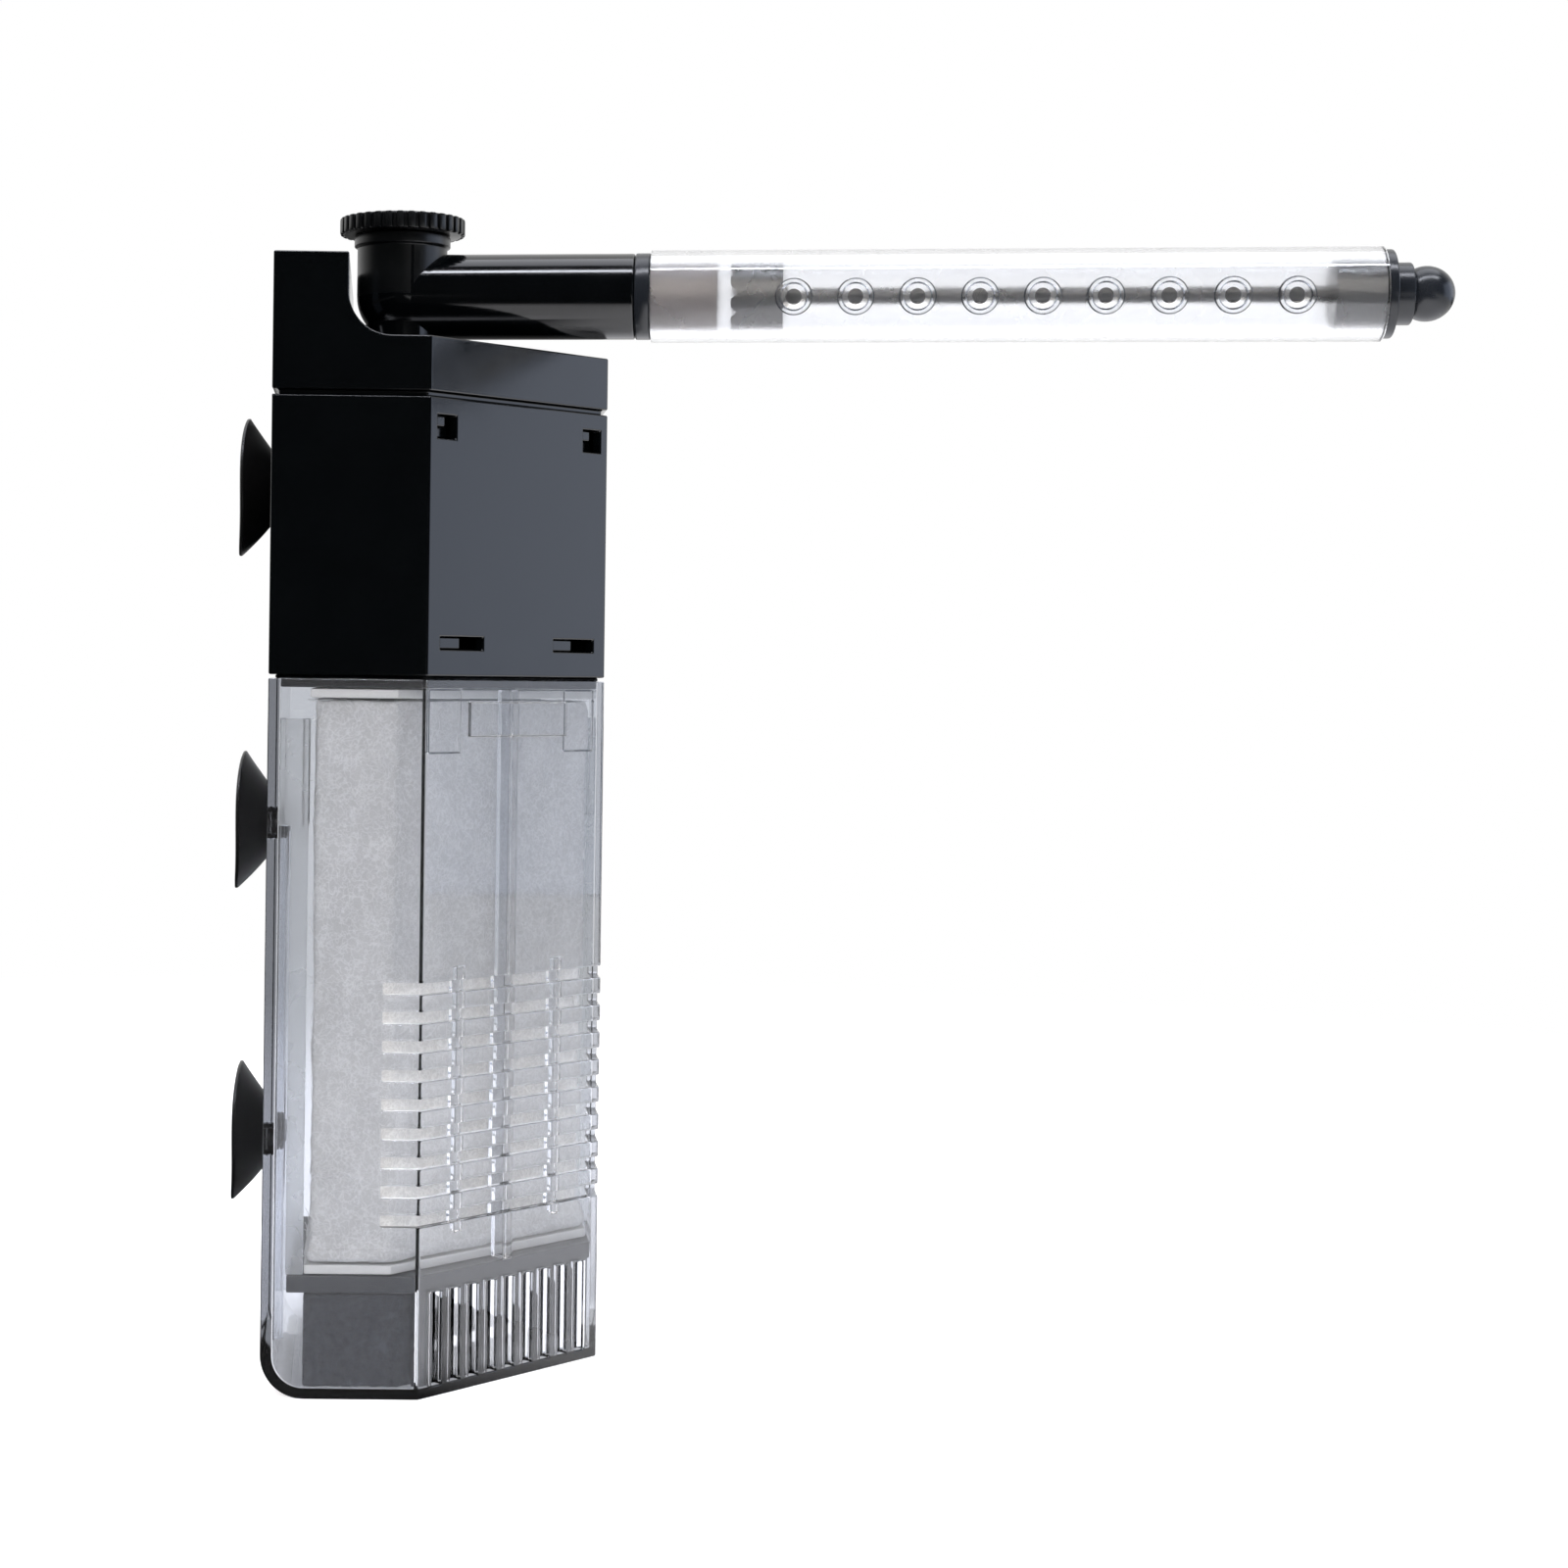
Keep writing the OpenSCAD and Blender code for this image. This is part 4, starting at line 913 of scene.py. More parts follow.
@dataclass
class Cartridge:
    """Floss cartridge with its plates, its rolled hem and the foam block under the tray."""

    voxel: float = 0.9
    lumps: tuple[tuple[float, float], ...] = ((9, 0.35), (2.2, 0.18))
    sink: float = 0.3
    foam_voxel: float = 0.55
    foam_pit: float = 0.35
    pit_span: tuple[float, float] = (0.02, 0.3)
    fibre_r: float = 0.05
    fibre_l: float = 4.0
    fibre_rise: float = 0.35
    fibre_tilt: float = 0.12
    fibre_sizes: tuple[float, float] = (0.5, 1.3)
    fibre_seed: int = 7
    fibres: int = 4200
    hem_r: float = 1.5
    hem_out: float = 0.3
    hem_size: float = 0.92
    hem_lump: float = 0.16
    hem_lump_mm: float = 5.0
    plate_edge: float = 0.3

    def build(self) -> None:
        """Makes the floss, its fibres, the hem, the plates and the foam."""
        self.floss()
        self.hem()
        self.foam()
        for node in ("cartridge_foot", "cartridge_top"):
            moulded(node, f"{node}_plate", WHITE_PP, Body.CANISTER, "white_plastic", self.plate_edge)
        refinish("cartridge_core", WHITE_PP)

    def soft_copy(self, node: str, name: str, voxel: float, rounds: int) -> Thing:
        """A remeshed copy of a soft node with its edges eased.

        Args:
            node: CAD node.
            name: Name of the new object.
            voxel: Size of the remesh.
            rounds: Rounds of smoothing.

        Returns:
            The remeshed object.
        """
        copy = frame_copy(node, name)
        remesh = copy.modifiers.new("voxels", "REMESH")
        remesh.mode = "VOXEL"
        remesh.voxel_size = voxel * MM
        ease = copy.modifiers.new("ease", "SMOOTH")
        ease.factor = 0.5
        ease.iterations = rounds
        return bake(copy)

    def floss(self) -> None:
        """Makes the matted floss with loose fibres on its faces."""
        pad = self.soft_copy("cartridge_floss", "floss", self.voxel, 6)
        normals = [vertex.normal.copy() for vertex in pad.data.vertices]
        for vertex, normal in zip(pad.data.vertices, normals):
            lump = sum(noise.noise(vertex.co / MM / size) * height for size, height in self.lumps)
            vertex.co += normal * (lump - self.sink) * MM
        smooth(pad.data, 60)
        skin = pad.copy()
        skin.data = pad.data.copy()
        bpy.context.scene.collection.objects.link(skin)
        dress(pad, FLOSS, Body.CANISTER, "white_floss", "cartridge_floss")
        fibres = self.fibre_tree(skin)
        fibres.name = fibres.data.name = "floss_fibres"
        dress(fibres, PAINTED_LIGHT_FIBRE, Body.CANISTER, "white_floss")

    def hem(self) -> None:
        """Rolls a hem along the floss's lower edge."""
        bm = bmesh.new()
        bm.from_mesh(frame["nodes"]["cartridge_floss"].data)
        bmesh.ops.remove_doubles(bm, verts=bm.verts, dist=WELD_MM * MM)
        level = min(v.co.z for v in bm.verts) + self.hem_r * MM
        cut = bmesh.ops.bisect_plane(bm, geom=bm.verts[:] + bm.edges[:] + bm.faces[:], plane_co=(0, 0, level),
                                     plane_no=(0, 0, 1), clear_inner=True, clear_outer=True)
        edges = [e for e in cut["geom_cut"] if isinstance(e, bmesh.types.BMEdge)]
        loops: list[list[Vector]] = []
        while edges:
            edge = edges.pop()
            first, here = edge.verts
            loop = [first.co / MM]
            while here is not first:
                loop.append(here.co / MM)
                edge = next(e for e in here.link_edges if e in edges)
                edges.remove(edge)
                here = edge.other_vert(here)
            loops.append(loop)
        bm.free()
        outline = max(loops, key=lambda loop: sum((a - b).length for a, b in zip(loop, loop[1:])))
        new = bmesh.new()
        rings = [[new.verts.new(p) for p in ring] for ring in self.roll(outline)]
        for a, b in zip(rings, rings[1:] + rings[:1]):
            for k in range(len(a)):
                new.faces.new((a[k - 1], a[k], b[k], b[k - 1]))
        bmesh.ops.recalc_face_normals(new, faces=new.faces)
        roll = from_bmesh("floss_hem", new, 80)
        dress(roll, FLOSS, Body.CANISTER, "white_floss")

    def roll(self, outline: list[Vector], step: float = 1.2, sides: int = 12) -> list[list[Vector]]:
        """Rings of a soft roll just inside a level outline.

        Args:
            outline: Corners of a closed loop, in millimetres.
            step: Spacing of the rings.
            sides: Points of a ring.

        Returns:
            The rings, in order round the loop.
        """
        spots: list[Vector] = []
        for a, b in zip(outline, outline[1:] + outline[:1]):
            count = max(1, round((b - a).length / step))
            spots += [a.lerp(b, k / count) for k in range(count)]
        count = len(spots)
        middle = sum(spots, Vector()) / count
        eased = [sum((spots[(i + k) % count] for k in range(-2, 3)), Vector()) / 5 for i in range(count)]
        rings = []
        for i, spot in enumerate(eased):
            along = (eased[(i + 1) % count] - eased[i - 1]).normalized()
            out = along.cross(UP)
            out = out if out.dot(spot - middle) > 0 else -out
            size = self.hem_r * (self.hem_size + self.hem_lump * noise.noise(spot / self.hem_lump_mm))
            centre = spot - out * (self.hem_r - self.hem_out)
            rings.append([centre + (out * math.cos(2 * math.pi * k / sides)
                                    + UP * math.sin(2 * math.pi * k / sides)) * size
                          for k in range(sides)])
        return rings

    def fibre_tree(self, skin: Thing) -> Thing:
        """Scatters curled fibres over a skin.

        Args:
            skin: Object whose faces carry the fibres; it is used up.

        Returns:
            The fibres as a plain mesh.
        """
        area = sum(p.area for p in skin.data.polygons)
        tree = Tree("loose fibres", {
            "Density": self.fibres / area, "Length": self.fibre_l * MM, "Radius": self.fibre_r * MM,
            "Seed": self.fibre_seed, "Material": PAINTED_LIGHT_FIBRE.material()})
        go = tree.start
        half = tree.add("ShaderNodeMath", {0: go["Length"], 1: 0.5}, operation="MULTIPLY")
        rise = tree.add("ShaderNodeMath", {0: go["Length"], 1: self.fibre_rise}, operation="MULTIPLY")
        back = tree.add("ShaderNodeMath", {0: half, 1: -1.0}, operation="MULTIPLY")
        first = tree.add("ShaderNodeCombineXYZ", {"X": back})
        last = tree.add("ShaderNodeCombineXYZ", {"X": half})
        crest = tree.add("ShaderNodeCombineXYZ", {"Y": rise})
        arc = tree.add("GeometryNodeCurveQuadraticBezier", {"Resolution": 6, "Start": first, "Middle": crest,
                                                            "End": last})
        section = tree.add("GeometryNodeCurvePrimitiveCircle", {"Resolution": 3, "Radius": go["Radius"]})
        strand = tree.add("GeometryNodeCurveToMesh", {"Curve": arc, "Profile Curve": section})
        spread = tree.add("GeometryNodeDistributePointsOnFaces", {
            "Mesh": go["Geometry"], "Density": go["Density"], "Seed": go["Seed"]})
        most = (self.fibre_tilt, self.fibre_tilt, 2 * math.pi)
        spin = tree.add("FunctionNodeRandomValue", {"Min": (0, 0, 0), "Max": most, "Seed": go["Seed"]},
                        data_type="FLOAT_VECTOR")
        turn = tree.add("FunctionNodeRotateRotation", {
            "Rotation": spread.outputs["Rotation"], "Rotate By": spin.outputs["Value"]}, rotation_space="LOCAL")
        small, large = self.fibre_sizes
        size = tree.add("FunctionNodeRandomValue", {2: small, 3: large, "Seed": go["Seed"]}, data_type="FLOAT")
        laid = tree.add("GeometryNodeInstanceOnPoints", {
            "Points": spread.outputs["Points"], "Instance": strand, "Rotation": turn,
            "Scale": size.outputs[1]})
        return tree.finish(laid, skin)

    def foam(self) -> None:
        """Makes the foam block with its open cells."""
        block = self.soft_copy("foam_block", "foam", self.foam_voxel, 1)
        tree = Tree("foam cells", {
            "Scale": per_mm(FOAM.cell_mm), "Depth": self.foam_pit * MM, "Material": FOAM.material()})
        go = tree.start
        cells = tree.add("ShaderNodeTexVoronoi", {"Scale": go["Scale"]}, feature="DISTANCE_TO_EDGE")
        pit = tree.add("ShaderNodeMapRange", {
            "Value": cells.outputs["Distance"], "From Min": self.pit_span[0], "From Max": self.pit_span[1],
            "To Min": 0.0, "To Max": -1.0})
        deep = tree.add("ShaderNodeMath", {0: pit, 1: go["Depth"]}, operation="MULTIPLY")
        normal = tree.add("GeometryNodeInputNormal")
        move = tree.add("ShaderNodeVectorMath", {0: normal, "Scale": deep}, operation="SCALE")
        place = tree.add("GeometryNodeSetPosition", {"Geometry": go["Geometry"], "Offset": move})
        foam = tree.finish(place, block)
        smooth(foam.data, 70)
        dress(foam, FOAM, Body.CANISTER, "dark_foam", "foam_block")


@dataclass
class PumpHead:
    """Pump base, housing and cap, with the gland and the sealed motor inside."""

    edge: float = 0.35
    gland_edge: float = 0.3

    def build(self) -> None:
        """Makes the shell's pieces and finishes the motor's."""
        for node in ("pump_base", "pump_housing", "pump_cap"):
            moulded(node, f"{node}_shell", BLACK_ABS, Body.PUMP_HEAD, "black_plastic", self.edge, 3)
        moulded("cable_gland", "gland", BLACK_RUBBER, Body.PUMP_HEAD, "black_rubber", self.gland_edge)
        for node, finish in (("volute", SLATE_PP), ("rotor_well", SLATE_PP), ("riser_pipe", SLATE_PP),
                             ("stator_stack", STATOR_STEEL), ("stator_winding", COPPER), ("shaft", CERAMIC),
                             ("bush_low", BLACK_RUBBER), ("bush_high", BLACK_RUBBER), ("rotor_magnet", FERRITE),
                             ("impeller", WHITE_PP)):
            refinish(node, finish)


@dataclass
class Outlet:
    """Elbow with its collar and coupling, and the flow knob on its neck."""

    neck_r: float = 8.7
    neck_h: float = 11.6
    collar_r: float = 9.3
    collar_h: float = 2.0
    satin_low: float = 3.0
    spigot_r: float = 6.9
    spigot_low: float = -18.4
    pipe_r: float = 8.2
    pipe_l: float = 45.2
    bore_r: float = 5.2
    arc_deg: tuple[int, int, int] = (-37, 1, 4)
    cone_h: float = 0.3
    drum_r: float = 6.28
    drum_low: float = -6.2
    fit: float = 0.08
    seam: float = 0.1
    ring_r: float = 8.25
    ring_w: float = 3.1
    tail_l: float = 7.0
    ring_bore_r: float = 3.8
    tube_bore_r: float = 6.42
    ring_spigot_l: float = 12.6
    knob_r: float = 12.1
    knob_h: float = 3.3
    knob_gap: float = 0.2
    rib_count: int = 34
    rib_w: float = 1.5
    rib_d: float = 1.0
    rib_sink: float = 0.6
    hook_count: int = 2
    hook_w: float = 3.0
    hook_l: float = 3.0
    hook_t: float = 2.0
    hook_in: float = 0.6

    def __post_init__(self) -> None:
        """Reads the outlet's two axes from the frame."""
        self.origin, self.up = joint_frame("outlet_swivel")
        _, self.along = joint_frame("jet_bar_roll")
        self.neck = axis_place(self.origin, self.up, self.along.cross(self.up))
        self.pipe = axis_place(self.origin, self.along, self.up)

    def build(self) -> None:
        """Makes the elbow, the coupling and the knob."""
        self.elbow()
        self.coupling()
        self.knob()
        refinish("outlet_seal", BLACK_RUBBER)
        refinish("valve_drum", SLATE_PP)

    def elbow(self) -> None:
        """Joins a turned neck and a turned pipe, and bores both."""
        arc = [(self.neck_r * math.cos(a), self.neck_r * math.sin(a)) for a in
               (math.radians(d) for d in range(*self.arc_deg))]
        top = self.neck_h
        neck = [(0, self.spigot_low), (self.spigot_r, self.spigot_low)] + arc + [
            (self.neck_r, top - self.collar_h - self.cone_h), (self.collar_r, top - self.collar_h),
            (self.collar_r, top), (0, top)]
        body = lathe("elbow", fillet(neck, 0.3, 3), self.neck)
        pipe = [(0, 0), (self.pipe_r, 0), (self.pipe_r, self.pipe_l), (0, self.pipe_l)]
        body = combine(body, lathe("pipe", fillet(pipe, 0.5, 4), self.pipe), "UNION")
        for name, radius, start, end, place in (
                ("drum bore", self.drum_r, self.drum_low, top + 1, self.neck),
                ("spigot bore", self.bore_r, self.spigot_low - 1, 0, self.neck),
                ("pipe bore", self.bore_r, 0, self.pipe_l + 1, self.pipe)):
            bore = lathe(name, [(0, start), (radius, start), (radius, end), (0, end)], place)
            body = combine(body, bore, "DIFFERENCE")
        smooth(body.data, 35)
        back = self.neck.inverted()

        def pick(centre: Vector, _: Vector) -> int:
            """Satin on the neck under the knob, polished elsewhere."""
            spot = back @ centre
            return int(spot.z > self.satin_low and spot.to_2d().length < self.collar_r + self.seam)

        paint(body, (BLACK_ABS, SATIN_ABS), pick)
        dress(body, BLACK_ABS, Body.OUTLET, "black_plastic", "outlet_elbow")

    def coupling(self) -> None:
        """Turns the ring between pipe and tube, with its spigot and tail."""
        s = self.pipe_l
        edge = s + self.ring_w
        tail, face = s - self.tail_l, edge + self.ring_spigot_l
        ring = [(self.ring_bore_r, tail), (self.bore_r - self.fit, tail),
                (self.bore_r - self.fit, s + self.seam), (self.ring_r, s + self.seam),
                (self.ring_r, edge - self.seam), (self.tube_bore_r, edge - self.seam),
                (self.tube_bore_r, face), (self.ring_bore_r, face)]
        piece = lathe("coupling", fillet(ring, 0.35, 3), self.pipe)
        back = self.pipe.inverted()
        # The spigot inside the frosted bore is painted paler: painted light of the frosted haze.
        paint(piece, (SLATE_PP, HAZE_PAINTED_PP), lambda centre, _: int((back @ centre).z > edge))
        dress(piece, SLATE_PP, Body.OUTLET, "slate_plastic", "jet_coupling")

    def knob(self) -> None:
        """Turns the knob's disc and sets ribs and hooks round it."""
        low = self.neck_h + self.knob_gap
        core = self.knob_r - self.rib_d * self.rib_sink
        disc = [(0, low), (core, low), (core, low + self.knob_h), (0, low + self.knob_h)]
        body = lathe("knob", fillet(disc, 0.5, 4), self.neck)
        ribs = self.ring_of("knob ribs", (self.rib_d, self.rib_w, self.knob_h - self.seam),
                            self.knob_r - self.rib_d / 2, low + self.knob_h / 2, self.rib_count, 0.35, 0.0)
        start = self.along.to_2d().angle_signed(Vector((1, 0)))
        hooks = self.ring_of("knob hooks", (self.hook_t, self.hook_w, self.hook_l + self.hook_in),
                             self.collar_r + self.knob_gap + self.hook_t / 2,
                             low - self.hook_l / 2 + self.hook_in / 2, self.hook_count, 0.4, start)
        for part in (ribs, hooks):
            body = combine(body, part, "UNION")
        smooth(body.data, 30)
        dress(body, SATIN_ABS, Body.KNOB, "black_plastic", "flow_knob")

    def ring_of(self, name: str, size: tuple[float, float, float], radius: float, height: float, count: int,
                edge: float, turn: float) -> Thing:
        """Sets copies of a rounded block on a circle round the neck's axis.

        Args:
            name: Name of the result.
            size: Depth, width and height of the block.
            radius: Distance of the blocks from the axis.
            height: Height of their middle above the pipe's axis.
            count: Number of copies.
            edge: Rounding of the block.
            turn: Angle of the first copy.

        Returns:
            The blocks as one plain mesh.
        """
        bm = bmesh.new()
        bmesh.ops.create_cube(bm, size=1)
        bmesh.ops.scale(bm, vec=size, verts=bm.verts)
        bmesh.ops.bevel(bm, geom=bm.edges, offset=edge, segments=2, profile=0.5, affect="EDGES")
        block = from_bmesh("block", bm)
        carrier = new_object(name, bpy.data.meshes.new(name))
        tree = Tree(name, {
            "Count": count, "Radius": radius * MM, "Block": block, "Material": SATIN_ABS.material()})
        go = tree.start
        circle = tree.add("GeometryNodeMeshCircle", {"Vertices": go["Count"], "Radius": go["Radius"]})
        index = tree.add("GeometryNodeInputIndex")
        step = tree.add("ShaderNodeMath", {0: 2 * math.pi, 1: go["Count"]}, operation="DIVIDE")
        angle = tree.add("ShaderNodeMath", {0: index, 1: step}, operation="MULTIPLY")
        twist = tree.add("ShaderNodeCombineXYZ", {"Z": angle})
        shape = tree.add("GeometryNodeObjectInfo", {"Object": go["Block"]})
        copies = tree.add("GeometryNodeInstanceOnPoints", {
            "Points": circle, "Instance": shape.outputs["Geometry"], "Rotation": twist})
        ring = tree.finish(copies, carrier)
        place = self.neck @ Matrix.Rotation(turn, 4, "Z")
        place = Matrix.Translation(place.translation * MM) @ place.to_3x3().to_4x4()
        ring.data.transform(place @ Matrix.Translation((0, 0, height * MM)))
        discard(block)
        return ring


@dataclass
class JetBar:
    """Clear tube with its row of jets, its end plug and the slider inside."""

    start: float = 48.3
    length: float = 135.2
    tube_r: float = 8.8
    bore_r: float = 6.5
    jets: int = 9
    first: float = 27.0
    pitch: float = 11.46
    jet_r: float = 1.45
    boss_r: float = 3.5
    boss_d: float = 0.35
    jet_turn: float = 8.0
    plug_l: float = 9.1
    flange_r: float = 8.25
    flange_t: float = 1.8
    stop_r: float = 5.8
    stop_l: float = 3.4
    rod_r: float = 1.5
    ball_r: float = 5.15
    ball_flat: float = 2.5
    gap: float = 0.2
    fit: float = 0.08
    tube_steps: int = 68
    boss_root: float = 0.6
    chamfer: float = 0.25
    rim_w: float = 0.8
    dish_w: float = 1.15
    dish_d: float = 0.7
    throat_d: float = 0.9
    skin: float = 0.05
    steep: float = 0.85
    rod_from: float = 24.0
    rod_out: float = 7.5
    tooth_edge: float = 0.15
    ball_steps: int = 20

    def __post_init__(self) -> None:
        """Reads the bar's axis from the frame."""
        origin, along = joint_frame("jet_bar_roll")
        self.bar = axis_place(origin, along, UP)
        self.side = Matrix.Rotation(math.radians(self.jet_turn), 3, along) @ along.cross(UP)
        self.end = self.start + self.length

    def build(self) -> None:
        """Makes the tube, the plug, the ball, the rod and the toothed ring."""
        self.tube()
        self.plug()
        self.ball()
        moulded("slider_crown", "toothed_ring", CHARCOAL_PP, Body.SLIDER, "slate_plastic", self.tooth_edge)
        low, high = self.start + self.rod_from, self.end + self.rod_out
        rod = [(0, low), (self.rod_r, low), (self.rod_r, high), (0, high)]
        dress(lathe("rod", fillet(rod, 0.3, 2), self.bar, turns=48), CHARCOAL_PP, Body.SLIDER, "slate_plastic",
              "slider_rod")

    def tube(self) -> None:
        """Turns the tube and sets the jets in its side."""
        a, b, steps = self.start, self.end, self.tube_steps
        outer = [(self.tube_r, a + (b - a) * k / steps) for k in range(steps + 1)]
        inner = [(self.bore_r, b + (a - b) * k / steps) for k in range(steps + 1)]
        tube = lathe("jet_tube_wall", outer + inner, self.bar, turns=128)
        jet_place = axis_place(self.bar @ Vector((0, 0, self.start + self.first)), self.side, UP)
        crest = self.tube_r + self.boss_d
        root = self.bore_r + self.boss_root
        dish, throat = (self.boss_r - self.dish_w, crest - self.dish_d), (self.jet_r, crest - self.throat_d)
        boss = [(self.jet_r, root), (self.boss_r, root), (self.boss_r, crest - self.boss_d),
                (self.boss_r - self.chamfer, crest), (self.boss_r - self.rim_w, crest), dish, throat]
        tube = self.row(tube, lathe("boss", fillet(boss, 0.06, 2), jet_place, turns=64), "UNION")
        hole = [(0, 0), (self.jet_r, 0), throat, dish, (0, crest - self.dish_d)]
        tube = self.row(tube, lathe("hole", hole, jet_place, turns=64), "DIFFERENCE")
        smooth(tube.data, 32)
        back, jet = self.bar.inverted(), jet_place.inverted()

        def pick(centre: Vector, normal: Vector) -> int:
            """Frosted in the bore, painted darker at a jet's steep edges as painted shade, clear elsewhere.

            Args:
                centre: Middle of a face, in millimetres.
                normal: Direction that it faces.

            Returns:
                Number of the face's finish.
            """
            near = jet @ centre
            near.x -= self.pitch * round(near.x / self.pitch)
            # Steep jet faces take the darker tint: painted shade of the jet's outline.
            steep = (near.to_2d().length < self.boss_r + self.skin and near.z > 0
                     and abs(normal.dot(self.side)) < self.steep)
            return 1 if (back @ centre).to_2d().length < self.bore_r + self.skin else 2 if steep else 0

        paint(tube, (CLEAR_PS, FROSTED_PS, JET_EDGE_SHADE_PS), pick)
        dress(tube, CLEAR_PS, Body.JET_BAR, "frosted_clear", "jet_tube")

    def row(self, tube: Thing, part: Thing, operation: str) -> Thing:
        """Joins a row of copies of a part to the tube, or cuts it out.

        Args:
            tube: The tube so far; it is used up.
            part: The first of the row; it is used up.
            operation: UNION or DIFFERENCE.

        Returns:
            The tube with the row.
        """
        along = self.bar.to_3x3() @ UP
        tree = Tree(f"jets {operation.lower()}", {
            "Count": self.jets, "Step": along * self.pitch * MM, "Part": part, "Material": CLEAR_PS.material()})
        go = tree.start
        line = tree.add("GeometryNodeMeshLine", {"Count": go["Count"], "Offset": go["Step"]})
        shape = tree.add("GeometryNodeObjectInfo", {"Object": go["Part"]})
        copies = tree.add("GeometryNodeInstanceOnPoints", {
            "Points": line, "Instance": shape.outputs["Geometry"]})
        solid = tree.add("GeometryNodeRealizeInstances", {"Geometry": copies})
        mixed = tree.add("GeometryNodeMeshBoolean", operation=operation, solver="EXACT")
        tree.tree.links.new(go["Geometry"], mixed.inputs["Mesh 1" if operation == "DIFFERENCE" else "Mesh 2"])
        tree.tree.links.new(solid.outputs[0], mixed.inputs["Mesh 2"])
        result = tree.finish(mixed, tube)
        discard(part)
        return result

    def plug(self) -> None:
        """Turns the end plug with its flange and collar."""
        e = self.end
        rod, bore, cap = self.rod_r + self.fit, self.bore_r - self.fit, e + self.flange_t
        section = [(rod, e - self.plug_l), (bore, e - self.plug_l), (bore, e), (self.flange_r, e),
                   (self.flange_r, cap), (self.stop_r, cap), (self.stop_r, cap + self.stop_l),
                   (rod, cap + self.stop_l)]
        plug = lathe("plug", fillet(section, 0.35, 3), self.bar)
        dress(plug, SLATE_PP, Body.JET_BAR, "slate_plastic", "end_plug")

    def ball(self) -> None:
        """Turns the pull ball."""
        middle = self.end + self.flange_t + self.stop_l + self.gap + self.ball_r - self.ball_flat
        flat = -(self.ball_r - self.ball_flat)
        first = math.degrees(math.asin(flat / self.ball_r))
        arc = [(self.ball_r * math.cos(math.radians(d)), middle + self.ball_r * math.sin(math.radians(d)))
               for d in (first + (90 - first) * k / self.ball_steps for k in range(self.ball_steps))]
        dress(lathe("pull_ball", [(0, middle + flat)] + arc + [(0, middle + self.ball_r)], self.bar), SLATE_PP,
              Body.SLIDER, "slate_plastic", "slider_ball")


@dataclass(frozen=True)
class Lamp:
    """A square lamp of an even radiance, in metres."""

    name: str
    place: tuple[float, float, float]
    aim: tuple[float, float, float]
    size: tuple[float, float]
    radiance: float
    colour: str = "#ffffff"
    mirrored: bool = True
    through: bool = True

    def hang(self) -> None:
        """Adds the lamp to the scene."""
        data = bpy.data.lights.new(self.name, "AREA")
        data.shape = "RECTANGLE"
        data.size, data.size_y = self.size
        data.energy = self.radiance * math.pi * self.size[0] * self.size[1]
        data.color = linear(self.colour)[:3]
        lamp = bpy.data.objects.new(self.name, data)
        lamp.location = self.place
        lamp.rotation_euler = (Vector(self.aim) - Vector(self.place)).to_track_quat("-Z", "Y").to_euler()
        lamp.visible_glossy = self.mirrored
        lamp.visible_transmission = self.through
        bpy.context.scene.collection.objects.link(lamp)


